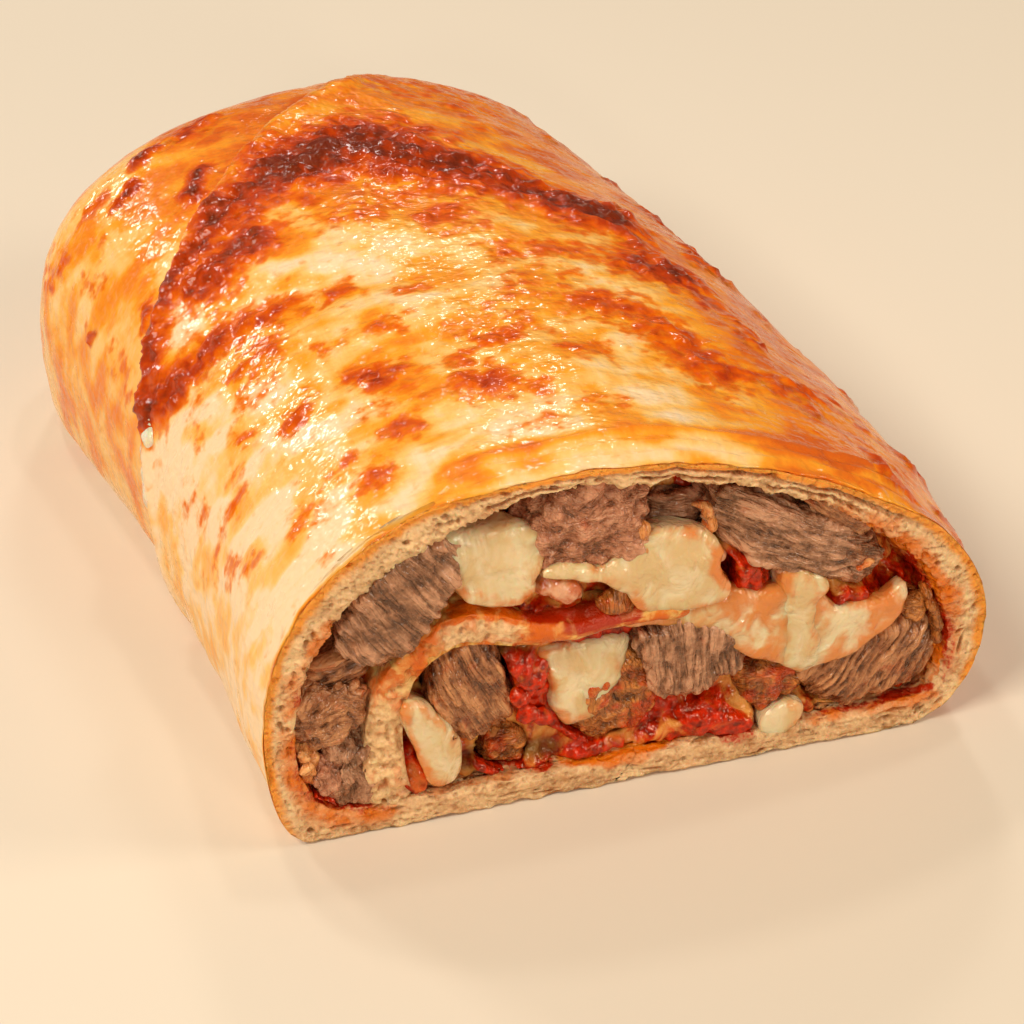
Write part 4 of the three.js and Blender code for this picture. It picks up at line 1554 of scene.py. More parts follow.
@dataclass(frozen=True)
class Crumb:
    """The torn crumb at the cut and the wall of the hollow behind it. Millimetres."""

    columns: int = 1100
    face_rows: int = 20
    wall_rows: int = 24
    wall_depth: float = 26.0
    skin: float = 0.3
    middle: Pair = (-4.0, 30.0)
    around: float = 430.0

    def torn_edge(self, turn: Array, arc: Array) -> Array:
        """How far the crumb hangs inside the hollow's plain outline, along its inner edge.

        Args:
            turn: Turn from the top.
            arc: Distance round the section.

        Returns:
            Millimetres inwards.
        """
        line = points_at(arc)
        rag = Unevenness(51).rough(line, 9.0, 4)
        nibbles = Unevenness(52).rough(line, 2.4, 3)
        roof = smooth(np.abs(turn), 84.0, 56.0)
        return (0.5 + 0.8 * roof) * rag + (0.3 + 0.4 * roof) * nibbles + 0.3 + 0.4 * roof

    def pores(self, arc: Array, depth: Array) -> Array:
        """Depth of the holes in the crumb, from 0 to 1.

        Args:
            arc: Distance round the section.
            depth: Distance from the crust.

        Returns:
            Numbers from 0 to 1.
        """
        flat = points_at(arc, depth)
        large, _, tag = Unevenness(53).nodules(flat, (3.6, 1.6, 1.0))
        small, _, chance = Unevenness(54).nodules(flat, (1.2, 0.8, 1.0))
        holes = smooth(large, 0.55, 0.1) * smooth(tag, 0.3, 0.7)
        pits = smooth(small, 0.55, 0.1) * smooth(chance, 0.1, 0.8)
        return np.clip(holes + 0.5 * pits, 0.0, 1.0)

    def layers(self, arc: Array, share: Array, turn: Array) -> Array:
        """Depth of the gaps between the flaky layers of the roof, from 0 to 1.

        Args:
            arc: Distance round the section.
            share: Share of the way from crust to hollow.
            turn: Turn from the top.

        Returns:
            Numbers from 0 to 1.
        """
        line = points_at(arc)
        gaps = np.zeros(len(arc))
        for number, middle in enumerate((0.3, 0.66)):
            sway = middle + 0.13 * Unevenness(55 + number).rough(line, 14.0, 3)
            open_here = smooth(Unevenness(58 + number).at(line, 11.0), -0.5, 0.1)
            gaps = np.maximum(gaps, open_here * np.exp(-(((share - sway) / 0.07) ** 2)))
        return gaps * smooth(turn, -34.0, -14.0) * smooth(turn, 66.0, 44.0)

    def lay(self, across: Array, along: Array) -> Patch:
        """Lays out the crumb as a closed ring: out at the crust, over the face, in along the wall.

        Args:
            across: Share of the way round.
            along: Share of the way through the ring's own section.

        Returns:
            The points and their numbers.
        """
        crust = Crust()
        turn = crust.turn_at(across)
        arc = across * self.around
        row = np.round(along * self.rows()).astype(int)
        face = np.linspace(0.0, 1.0, self.face_rows + 1)
        wall = np.linspace(0.0, 1.0, self.wall_rows + 1)[1:] ** 1.3
        share = np.concatenate([[0.0], face, np.ones(self.wall_rows), [1.0, 0.5, 0.0]])[row]
        face_back = np.zeros(self.face_rows + 1)
        back = np.concatenate([[4.0], face_back, wall * self.wall_depth, [self.wall_depth, 6.0, 4.0]])[row]
        grown = np.concatenate([np.zeros(1 + self.face_rows + 1 + self.wall_rows), [1.6, 0.0, 0.0]])[row]
        on_face = (row >= 1) & (row <= self.face_rows + 1)
        flaked = crust.layer * len(crust.layer_distances) * crust.peeled(turn, np.ones(len(turn)))
        skin = self.skin * smooth(np.abs(turn), 124.0, 100.0)
        outer_x, outer_z = ROLL.crust.offset(turn, -skin - flaked - np.where(on_face, 0.0, 0.4))
        hang = self.torn_edge(turn, arc) * smooth(back, 9.0, 0.0)
        inner_x, inner_z = ROLL.hollow.offset(turn, grown - hang)
        x = outer_x + (inner_x - outer_x) * share
        z = outer_z + (inner_z - outer_z) * share
        thick = np.hypot(inner_x - outer_x, inner_z - outer_z)
        pores = self.pores(arc, share * thick)
        gaps = self.layers(arc, share, turn)
        points = points_at(x, back, z)
        fine = Unevenness(61).rough(points, 2.4, 4)
        swell = Unevenness(64).at(points, 6.0)
        rounding = smooth(share, 0.8, 1.0) * 0.8
        front = 0.3 + 1.1 * pores + 1.8 * gaps + 0.5 * fine + 0.6 * swell + rounding
        front = np.maximum(front * smooth(share, -0.1, 0.12), 0.02)
        y = np.where(on_face, front, back + np.where(back < 3.0, front, 0.0))
        lumps, _, _ = Unevenness(62).nodules(points, (3.0, 3.4, 3.0))
        wet = smooth(turn, 30.0, 48.0) * smooth(turn, 112.0, 92.0)
        push = 0.5 * fine + (0.4 + 2.2 * wet) * (0.55 - lumps) * smooth(back, 0.0, 3.0)
        push = push + wet * 0.3 * np.minimum(back, 12.0)
        push = np.where(on_face | (grown > 0) | (share < 1.0), 0.0, push)
        inward = np.hypot(self.middle[0] - x, self.middle[1] - z)
        x = x + push * (self.middle[0] - x) / inward
        z = z + push * (self.middle[1] - z) / inward
        places = ROLL.carry(x, z, y, ROLL.length - ROLL.end_wall, ROLL.hollow_cap)
        floor = smooth(np.abs(turn), 100.0, 116.0) * smooth(share, 0.4, 0.0)
        ragged = 0.6 + 0.6 * Unevenness(63).rough(points, 2.4, 3)
        places[:, 2] = np.maximum(places[:, 2] + floor * np.clip(ragged, 0.0, 1.4), 0.05)
        stain, oil = STAINS.read(places)
        wall_stain = np.where(on_face, 0.0, 1.0) * smooth(share, 0.9, 1.0)
        face_red = smooth(share, 0.35, 1.0)
        stain = stain * np.maximum(wall_stain, 0.7 * face_red)
        oil = oil * np.maximum(wall_stain, 0.85 * smooth(share, 0.05, 0.8))
        oil = np.maximum(oil, (0.3 + 0.5 * wet) * wall_stain)
        oil = np.maximum(oil, 0.5 * wet * smooth(turn, 84.0, 64.0) * smooth(share, 0.4, 0.95))
        # Painted shade in the pores and between the flaky layers; the face is also made darker towards the
        # bottom, and the wall a little darker.
        low = 0.2 * smooth(np.abs(turn), 100.0, 120.0)
        pore = np.where(on_face, 0.8 * pores + 0.6 * gaps + low, 0.25)
        rim = np.where(on_face, 0.95 * smooth(share, 0.5, 0.0) * smooth(np.abs(turn), 118.0, 92.0), 0.0)
        return Patch(places, {"pore": pore, "rim": rim, "stain": stain, "oil": oil})

    def rows(self) -> int:
        """Rows of faces through the ring's section."""
        return 1 + self.face_rows + self.wall_rows + 3

    def build(self) -> Piece:
        """Builds and dresses the crumb."""
        mesh = lay_sheet("crumb", self.columns, self.rows(), self.lay)
        return add_piece(mesh, CrumbFinish().make(), ("dough",))


# ---- inner fold


@dataclass(frozen=True)
class Fold:
    """The inner fold of dough, soaked with oil and sauce. Millimetres."""

    line: tuple[Pair, ...] = (
        (-48.2, 3.0), (-48.2, 20.0), (-44.5, 34.5), (-35.0, 42.3), (-25.0, 40.6), (-12.0, 38.4),
        (4.0, 39.8), (18.0, 33.2), (32.0, 21.4), (41.0, 22.6), (49.5, 28.3),
    )
    thick_left: float = 4.8
    thick_right: float = 3.3
    far_end: float = 170.0
    columns: int = 700
    front_rows: int = 12
    near_rows: int = 44
    far_rows: int = 10
    near: float = 26.0
    under_melt: float = 3.2  # how much further back its edge is under the melted cheese
    line_length: float = 150.0
    upper_end: float = 0.53  # share of the way round its section where the upper face ends
    lower_start: float = 0.57  # where the lower face starts
    lower_share: float = 0.43
    tip_share: float = 0.04

    def spine(self, share: Array) -> tuple[Array, Array]:
        """The fold's centre line and heading.

        Args:
            share: Share of the way from the root to the free edge.

        Returns:
            Points and unit headings, two numbers each.
        """
        knots = np.array(self.line)
        knots = np.vstack([2 * knots[0] - knots[1], knots, 2 * knots[-1] - knots[-2]])
        gaps = np.linalg.norm(np.diff(knots, axis=0), axis=1) ** 0.5
        times = np.concatenate([[0.0], np.cumsum(gaps)])

        def curve(at: Array) -> Array:
            """Points of the centripetal spline through the knots.

            Args:
                at: How far along, from 0 to 1.

            Returns:
                The points, two numbers each.
            """
            span = np.clip(at * (len(self.line) - 1), 0.0, len(self.line) - 1 - 1e-9)
            first = span.astype(int)
            t = times[first + 1] + (span - first) * gaps[first + 1]
            level = [knots[first + k] for k in range(4)]
            for reach in (1, 2, 3):
                level = [
                    (
                        level[k] * (times[first + k + reach] - t)[:, None]
                        + level[k + 1] * (t - times[first + k])[:, None]
                    ) / (times[first + k + reach] - times[first + k])[:, None]
                    for k in range(4 - reach)
                ]
            return level[0]

        fine = np.linspace(0.0, 1.0, 800)
        steps = np.linalg.norm(np.diff(curve(fine), axis=0), axis=1)
        travelled = np.concatenate([[0.0], np.cumsum(steps)]) / steps.sum()
        even = np.interp(share, travelled, fine)
        run = curve(np.minimum(even + 0.002, 1.0)) - curve(np.maximum(even - 0.002, 0.0))
        return curve(even), run / np.linalg.norm(run, axis=1)[:, None]

    def lay(self, across: Array, along: Array) -> Patch:
        """Lays out the fold: round its section, from its front edge to its far end.

        Args:
            across: Share of the way round the section: up one face, round the tip, down the other.
            along: Share of the way along the roll.

        Returns:
            The points and their numbers.
        """
        upper = across < self.upper_end
        lower = across > self.lower_start
        under = np.where(lower, (1.0 - across) / self.lower_share, 1.0)
        share = np.where(upper, across / self.upper_end, under)
        centre, heading = self.spine(share)
        half = 0.5 * (self.thick_left + (self.thick_right - self.thick_left) * smooth(share, 0.25, 0.5))
        tip = 90.0 - 180.0 * (across - self.upper_end) / self.tip_share
        swing = np.radians(np.where(upper, 90.0, np.where(lower, -90.0, tip)))
        side = np.stack([-heading[:, 1], heading[:, 0]], axis=1)
        reach = heading * np.cos(swing)[:, None] + side * np.sin(swing)[:, None]
        row = np.round(along * self.rows()).astype(int)
        front = np.linspace(0.0, np.pi / 2.0, self.front_rows + 1)
        near = np.linspace(0.0, 1.0, self.near_rows + 1)[1:] ** 1.25 * self.near
        far = np.linspace(self.near, self.far_end, self.far_rows + 1)[1:]
        solid = np.ones(self.near_rows + self.far_rows)
        spread = np.concatenate([np.sin(front), solid, [0.0]])[row]
        round_off = np.concatenate([np.cos(front), 0.0 * solid, [0.0]])[row]
        y = np.concatenate([0.0 * front, near, far, [self.far_end]])[row]
        bready = smooth(share, 0.48, 0.38)
        wall = smooth(share, 0.28, 0.16)
        line = points_at(share * self.line_length, np.where(upper, 0.0, 40.0), y)
        bulge = 1.4 * np.exp(-(((share - 0.36) / 0.1) ** 2))
        bulge = bulge + 3.0 * np.exp(-share / 0.05) + 1.0 * wall
        wave = 0.6 * Unevenness(71).at(line, 15.0) + 0.5 * Unevenness(72).rough(line, 5.0, 3)
        red, oil = STAINS.read(points_at(centre[:, 0], y, centre[:, 1]))
        lumps, _, _ = Unevenness(75).nodules(line, (4.5, 1.0, 3.6))
        lying = np.where(upper, 0.6 * red + 0.3 * oil + 1.0 * (0.55 - lumps), 0.0) * smooth(y, 0.0, 2.5)
        sheet = half + bulge + wave * smooth(y, -1.0, 5.0) + lying
        flat = centre + reach * (sheet * spread)[:, None]
        ripple = line * np.array([1.0, 0.0, 0.0])
        slump = 0.9 + 1.2 * Unevenness(73).rough(ripple, 12.0, 4)
        droop = (1.0 - bready) * smooth(y, 7.0, 0.0) * (0.5 + 0.9 * Unevenness(76).rough(ripple, 9.0, 3))
        flat[:, 1] -= droop
        set_back = np.clip(slump, 0.1, 2.6) * smooth(y, 20.0, 0.0)
        set_back = set_back - round_off * half * (0.5 + 0.4 * (1.0 - bready)) + half * 0.8
        set_back = set_back + self.under_melt * smooth(share, 0.62, 0.72)
        face = points_at(flat[:, 0], flat[:, 1], y)
        crumb = Unevenness(74).rough(face, 2.2, 4)
        pits, _, _ = Unevenness(77).nodules(face, 2.0)
        torn = (0.8 * crumb + 1.0 * smooth(pits, 0.5, 0.1)) * (bready + 0.5 * wall) * smooth(y, 3.0, 0.0)
        depth = np.maximum(y + (set_back + torn * smooth(spread, 1.0, 0.8)) * smooth(y, 22.0, 2.0), 0.1)
        depth = np.where(y > self.near, y, depth)
        places = ROLL.carry(flat[:, 0], flat[:, 1], depth, ROLL.length, ROLL.end_cap)
        stain, oil = STAINS.read(places)
        lens = smooth(share, 0.28, 0.32) * smooth(share, 0.44, 0.4) * smooth(spread, 0.85, 0.6)
        cut = np.maximum(lens * smooth(y, 2.5, 0.4), wall * smooth(y, 6.0, 2.0) * 0.9)
        stain = stain * np.where(upper, 1.0, 0.6) * (1.0 - 0.7 * cut)
        oil = np.maximum(oil, 0.32) * (1.0 - 0.8 * cut)
        return Patch(places, {"cut": cut, "stain": stain, "oil": oil})

    def rows(self) -> int:
        """Rows of faces along the roll."""
        return self.front_rows + self.near_rows + self.far_rows + 1

    def build(self) -> Piece:
        """Builds and dresses the fold."""
        mesh = lay_sheet("fold", self.columns, self.rows(), self.lay)
        return add_piece(mesh, FoldFinish().make(), ("dough",))


# ---- filling


@dataclass(frozen=True)
class SauceMass:
    """The mass of sauce and cheese: fine at the cut, plain where the roll hides it. Millimetres."""

    split: float = 26.0
    cell: float = 0.6
    # Strokes where the sauce is painted near-black, as painted shade in the gaps between the chunks and
    # under the roof.
    gaps: tuple[Stroke, ...] = strokes(
        (-34.0, 66.0, 44.0, 60.0, 8.0, 0.9), (-29.0, 38.0, -24.0, 37.0, 4.0, 0.8),
        (-4.0, 34.0, 0.0, 33.0, 3.0, 0.7), (22.0, 24.0, 24.0, 20.0, 4.0, 0.8),
        (-33.0, 14.0, -18.0, 13.0, 3.5, 0.7), (34.0, 20.0, 40.0, 24.0, 3.0, 0.7),
    )

    def half(self, name: str, keep_front: bool) -> Mesh:
        """One side of the filling, cut across and closed.

        Args:
            name: The mesh's name.
            keep_front: Whether the side at the cut is kept.

        Returns:
            The mesh.
        """
        mesh = copy_node("filling", name)
        shape = bmesh.new()
        shape.from_mesh(mesh)
        cut = bmesh.ops.bisect_plane(
            shape, geom=[*shape.verts, *shape.edges, *shape.faces],
            plane_co=ROLL.placed(np.array([[0.0, self.split, 0.0]]))[0], plane_no=(0.0, 1.0, 0.0),
            clear_outer=keep_front, clear_inner=not keep_front,
        )
        edges = [edge for edge in cut["geom_cut"] if isinstance(edge, bmesh.types.BMEdge)]
        bmesh.ops.triangle_fill(shape, edges=edges, use_beauty=True)
        bmesh.ops.recalc_face_normals(shape, faces=shape.faces)
        shape.to_mesh(mesh)
        shape.free()
        return mesh

    def build(self) -> list[Piece]:
        """Builds and dresses the filling's two pieces.

        Returns:
            The pieces.
        """
        finish = SauceFinish().make()
        front = even_mesh(self.half("sauce_front", True), self.cell, 3)
        places = local_places(front)
        normals = normals_of(front)
        red, oil = STAINS.read(places)
        faces_cut = smooth(-normals[:, 1], 0.1, 0.7)
        lumps, _, _ = Unevenness(81).nodules(places, 4.6)
        fine, _, _ = Unevenness(83).nodules(places, 2.0)
        uneven = 1.6 * (0.5 - lumps) + 1.0 * (0.5 - fine) + 0.7 * Unevenness(82).rough(places, 3.0, 3)
        places = places + normals * (uneven * (0.25 + 0.75 * faces_cut))[:, None]
        places[:, 1] -= faces_cut * (3.2 * red + 1.6 * oil * (1.0 - red))
        x, z = VIEW.on_cut(places)
        places[:, 1] = np.maximum(places[:, 1], 0.9)
        move_points(front, places)
        cheesy = 0.36 + 0.4 * Unevenness(84).rough(places, 8.0, 3) - 0.7 * red
        cheesy = cheesy + (0.3 - cheesy) * 0.8 * oil * (1.0 - 0.8 * red)
        # Painted shade in the gaps, except where red sauce lies.
        hidden = cover_of(self.gaps, x, z, np.zeros(len(x))) * (1.0 - red)
        keep_numbers(front, {"cheesy": np.clip(cheesy, 0.0, 1.0), "hidden": hidden})
        core = self.half("filling_core", False)
        return [add_piece(mesh, finish, ("filling",)) for mesh in (front, core)]


class Grain(Enum):
    """How a chunk of beef is built."""

    FIBRES = "fibres"
    NODULES = "nodules"
    GLAZED = "glazed"


class Tone(Enum):
    """The finishes that beef comes in."""

    # Past the name, each gives the lit ridge (painted highlight), flesh, shaded groove (painted shade) and
    # tint colours, then the tinted share, roughness and coat.
    GREY = BeefFinish("grey_beef")
    PINK = BeefFinish(
        "pink_beef", paint(216, 148, 108), paint(168, 100, 66), paint(98, 50, 28), paint(222, 140, 90), 0.3
    )
    BROWN = BeefFinish(
        "brown_beef", paint(206, 138, 86), paint(150, 88, 50), paint(84, 40, 20), paint(222, 138, 76), 0.4
    )
    GLAZED = BeefFinish(
        "glazed_beef", paint(222, 136, 60), paint(148, 80, 28), paint(66, 30, 12), paint(226, 120, 40),
        0.6, 0.2, 0.6,
    )
    FAT = BeefFinish(
        "fat_beef", paint(244, 178, 110), paint(220, 134, 66), paint(146, 66, 22), paint(230, 140, 70),
        0.5, 0.24, 0.5,
    )


@dataclass(frozen=True)
class Chunk:
    """One chunk of beef: its node, grain, the fibres' heading in the cut, tone and coarseness."""

    node: str
    grain: Grain
    heading: float
    tone: Tone
    coarse: float


@dataclass(frozen=True)
class BeefChunks:
    """All the beef that shows at the cut. Millimetres."""

    cell: float = 0.32
    chunks: tuple[Chunk, ...] = (
        Chunk("beef_top_left", Grain.FIBRES, -54.0, Tone.GREY, 1.15),
        Chunk("beef_top_middle", Grain.NODULES, -10.0, Tone.PINK, 1.0),
        Chunk("beef_top_back", Grain.FIBRES, -6.0, Tone.GREY, 0.8),
        Chunk("beef_top_right", Grain.FIBRES, -29.0, Tone.GREY, 0.95),
        Chunk("beef_right_upper", Grain.FIBRES, -34.0, Tone.BROWN, 0.9),
        Chunk("beef_left_upper", Grain.FIBRES, 20.0, Tone.BROWN, 1.0),
        Chunk("beef_left_middle", Grain.NODULES, 10.0, Tone.BROWN, 1.1),
        Chunk("beef_left_fat", Grain.NODULES, 80.0, Tone.FAT, 1.3),
        Chunk("beef_left_small", Grain.NODULES, 80.0, Tone.PINK, 0.9),
        Chunk("beef_left_lower", Grain.NODULES, -70.0, Tone.GREY, 1.1),
        Chunk("beef_low_left", Grain.FIBRES, -66.0, Tone.BROWN, 1.2),
        Chunk("beef_low_small", Grain.GLAZED, 0.0, Tone.GLAZED, 0.8),
        Chunk("beef_low_round", Grain.GLAZED, -60.0, Tone.GLAZED, 1.2),
        Chunk("beef_low_middle", Grain.FIBRES, 96.0, Tone.GREY, 1.0),
        Chunk("beef_low_glazed", Grain.GLAZED, 0.0, Tone.GLAZED, 0.9),
        Chunk("beef_low_right", Grain.FIBRES, 62.0, Tone.BROWN, 1.1),
        Chunk("beef_edge_upper", Grain.GLAZED, 0.0, Tone.GLAZED, 0.8),
    )

    def strands(self, chunk: Chunk, places: Array, noise: Unevenness) -> Array:
        """Places in the chunk's own fibres: across them, along them and into the roll.

        Args:
            chunk: The chunk.
            places: Its points.
            noise: Its own noise.

        Returns:
            Three numbers for each point, in millimetres.
        """
        angle = np.radians(chunk.heading)
        along = places[:, 0] * np.cos(angle) + places[:, 2] * np.sin(angle)
        across = -places[:, 0] * np.sin(angle) + places[:, 2] * np.cos(angle)
        across = across + 0.7 * noise.at(places, 9.0) + 0.2 * noise.at(places + 60.0, 3.0)
        strand = points_at(across, along, places[:, 1]) / chunk.coarse
        if chunk.grain is Grain.FIBRES:
            return strand
        crumbled = strand * np.array([1.0, 3.2, 2.2])
        return crumbled + 1.2 * np.stack([noise.at(places + shift, 4.5) for shift in (0, 50, 90)], axis=1)

    def relief(self, chunk: Chunk, places: Array, strand: Array, noise: Unevenness) -> tuple[Array, Array]:
        """How far the chunk's surface stands out, and the light and shade painted on it there.

        Args:
            chunk: The chunk.
            places: Its points.
            strand: The points' places in its fibres.
            noise: Its own noise.

        Returns:
            Heights in millimetres, and paleness from 0 to 1.
        """
        shape = 0.9 * noise.at(places, 9.0)
        fine = noise.rough(places, 1.5, 3)
        if chunk.grain is Grain.FIBRES:
            fibre = 2.2 * np.abs(noise.rough(strand, (1.4, 7.5, 4.5), 2)) - 0.55
            bundle = 2.2 * np.abs(noise.rough(strand + 40.0, (4.4, 12.0, 8.0), 2)) - 0.5
            chop = noise.rough(strand + 80.0, (2.6, 3.4, 2.8), 3)
            height = 0.45 * fibre + 0.45 * bundle + 0.14 * fine + 0.38 * chop
            # Painted light and shade: paler on the raised fibres, darker in the grooves.
            relief_shading = 0.44 + 0.36 * fibre + 0.16 * bundle + 0.08 * fine + 0.18 * chop
        else:
            near, _, tag = noise.nodules(places, 3.4)
            billow = 2.2 * np.abs(noise.rough(places + 60.0, 2.8, 2)) - 0.5
            broad = 2.2 * np.abs(noise.rough(places + 90.0, 7.0, 2)) - 0.5
            weight = 1.0 if chunk.grain is Grain.NODULES else 0.7
            height = weight * (1.1 * (0.6 - near) + 0.3 * tag + 0.55 * billow + 0.9 * broad) + 0.1 * fine
            # Painted light and shade: paler on the raised nodules, darker between them.
            relief_shading = 0.5 + 0.4 * (0.5 - near) + 0.2 * billow + 0.14 * broad + 0.06 * fine
        return shape + height, np.clip(relief_shading, 0.0, 1.0)

    def build(self) -> list[Piece]:
        """Builds and dresses every chunk.

        Returns:
            The pieces.
        """
        finishes = {tone: tone.value.make() for tone in Tone}
        pieces = []
        for number, chunk in enumerate(self.chunks):
            mesh = even_mesh(copy_node(chunk.node, chunk.node.replace("beef", "chunk")), self.cell, 3)
            places = local_places(mesh)
            noise = Unevenness(200 + number)
            strand = self.strands(chunk, places, noise)
            height, relief_shading = self.relief(chunk, places, strand, noise)
            back = smooth(places[:, 1], 16.0, 10.0)
            places = places + normals_of(mesh) * (height * (0.2 + 0.8 * back))[:, None]
            places[:, 1] = held_behind(places[:, 1], 0.05)
            move_points(mesh, places)
            keep_numbers(mesh, {"ridge": relief_shading, "strand": strand * MM})
            pieces.append(add_piece(mesh, finishes[chunk.tone], (chunk.node,)))
        return pieces


@dataclass(frozen=True)
class Drape:
    """One melted piece of cheese: its outline as seen on the cut's plane, and how it lies."""

    node: str
    front: float
    depth: float
    lean: float
    outline: tuple[Pair, ...]
    smeared: float = 0.0

    @property
    def name(self) -> str:
        """The name of the piece that is made from it. The one on the fold has no node."""
        return self.node.replace("cheese", "melt") if self.node else "melt_on_fold"

    def rim_distance(self, x: Array, z: Array) -> Array:
        """Distance to the outline, in millimetres."""
        sides = zip(self.outline, (*self.outline[1:], self.outline[0]))
        return np.minimum.reduce([Stroke(start, end, 1.0).distance(x, z) for start, end in sides])


@dataclass(frozen=True)
class Melts:
    """The melted cheese that shows at the cut. Millimetres."""

    cell: float = 0.5
    relax: int = 14
    drapes: tuple[Drape, ...] = (
        Drape("cheese_top_left", 3.0, 5.0, 0.12, (
            (-38.2, 66.6), (-35.6, 62.0), (-35.2, 57.0), (-34.2, 53.2), (-30.2, 50.4), (-25.8, 48.9),
            (-22.6, 48.3), (-20.7, 50.7), (-20.9, 53.8), (-19.0, 58.0), (-17.0, 63.0), (-25.9, 66.4),
        )),
        Drape("cheese_top_middle", 0.8, 6.0, 0.2, (
            (-19.0, 54.0), (-13.7, 55.6), (-8.7, 53.2), (-4.4, 54.4), (1.1, 59.4), (6.1, 59.6), (11.6, 56.4),
            (15.0, 51.8), (13.8, 48.3), (17.4, 43.6), (16.6, 40.6), (12.7, 39.7), (8.3, 39.8), (3.0, 40.4),
            (-0.2, 42.0), (-1.4, 46.4), (-4.3, 48.6), (-9.0, 50.6),
        )),
        Drape("cheese_right_fall", 0.9, 5.0, 0.06, (
            (27.3, 44.5), (30.3, 44.2), (35.1, 40.5), (36.3, 38.9), (34.6, 36.5), (33.8, 32.1),
            (35.3, 26.2), (35.3, 21.6), (32.7, 19.8), (29.5, 22.0), (28.6, 26.7), (29.0, 32.8), (28.6, 38.5),
        )),
        Drape("cheese_low_middle", 4.0, 5.0, 0.12, (
            (-19.4, 36.4), (-12.0, 36.8), (-2.6, 36.6), (-3.8, 29.1), (-5.6, 23.6), (-7.4, 20.2),
            (-10.5, 17.6), (-14.0, 17.8), (-15.8, 22.4), (-17.0, 29.0),
        )),
        Drape("cheese_low_left", 0.5, 6.0, 0.1, (
            (-44.8, 29.5), (-43.2, 29.7), (-40.4, 27.3), (-36.9, 22.0), (-34.8, 17.7), (-34.7, 13.0),
            (-35.5, 8.9), (-37.9, 7.6), (-40.0, 9.6), (-41.0, 13.6), (-42.7, 19.7), (-44.4, 24.8),
        )),
        Drape("cheese_low_right", 0.6, 6.0, 0.1, (
            (26.0, 10.4), (28.6, 11.2), (32.1, 11.8), (33.4, 10.1), (32.4, 6.4), (29.8, 4.4),
            (26.3, 4.7), (25.0, 7.8),
        )),
        Drape("", 1.7, 4.4, 0.06, (
            (-5.0, 39.4), (1.6, 38.4), (6.9, 36.8), (12.3, 33.2), (18.4, 28.8), (26.1, 24.0), (32.4, 19.4),
            (35.8, 20.4), (41.5, 21.6), (44.5, 22.8), (48.9, 26.2), (52.0, 29.4), (52.2, 37.0), (48.0, 33.6),
            (42.4, 33.6), (38.2, 33.4), (34.6, 37.4), (27.4, 40.6), (21.5, 40.8), (17.7, 42.3), (12.6, 41.2),
            (8.4, 40.5), (3.5, 42.4), (-4.0, 42.0),
        ), 0.5),
    )

    def slab(self, name: str, drape: Drape) -> Mesh:
        """A drape's outline drawn back into a soft slab.

        Args:
            name: The mesh's name.
            drape: The drape.

        Returns:
            The mesh.
        """
        shape = bmesh.new()
        outline = np.array(drape.outline)
        middle = outline[:, 1].mean()
        y = drape.front + drape.lean * (outline[:, 1] - middle)
        places = ROLL.placed(VIEW.behind(outline[:, 0], outline[:, 1], np.maximum(y, 0.3)))
        corners = [shape.verts.new(place) for place in places]
        face = shape.faces.new(corners)
        drawn = bmesh.ops.extrude_face_region(shape, geom=[face])
        back = [part for part in drawn["geom"] if isinstance(part, bmesh.types.BMVert)]
        bmesh.ops.translate(shape, verts=back, vec=(0.0, drape.depth * MM, -0.25 * drape.depth * MM))
        bmesh.ops.recalc_face_normals(shape, faces=shape.faces)
        return even_mesh(mesh_of(shape, name), self.cell, self.relax)

    def build(self) -> list[Piece]:
        """Builds and dresses the cheese.

        Returns:
            The pieces.
        """
        finish = CheeseFinish().make()
        pieces = []
        for number, drape in enumerate(self.drapes):
            mesh = self.slab(drape.name, drape)
            places = local_places(mesh)
            noise = Unevenness(300 + number)
            rise = 0.7 * noise.at(places, 7.0) + 0.4 * noise.at(places, 3.0) + 0.7
            moved = places + normals_of(mesh) * rise[:, None]
            moved[:, 1] = held_behind(moved[:, 1], 0.1)
            x, z = VIEW.on_cut(moved)
            red, oil = STAINS.read(moved)
            thin = smooth(drape.rim_distance(x, z), 2.6, 0.2)
            smear = drape.smeared * (1.0 + 0.9 * noise.rough(places + 40.0, 9.0, 3))
            edge = 0.6 * thin * (0.6 + 0.6 * noise.at(places + 20.0, 6.0)) + 0.6 * red + 0.2 * oil + smear
            move_points(mesh, moved)
            keep_numbers(mesh, {"edge": np.clip(edge, 0.0, 1.0)})
            pieces.append(add_piece(mesh, finish, (drape.node,) if drape.node else ()))
        return pieces


class Dressing(Enum):
    """The materials that small lumps take, by name."""

    ONION = "glazed_onion"
    SAUCE = "tomato_sauce"
    FAT = "fat_beef"
    GLAZED = "glazed_beef"


@dataclass(frozen=True)
class SmallLump:
    """A small soft lump run together from balls, in millimetres from the cut's middle."""

    name: str
    slot: Slot
    dressing: Dressing
    balls: tuple[Ball, ...]
    node: str = ""


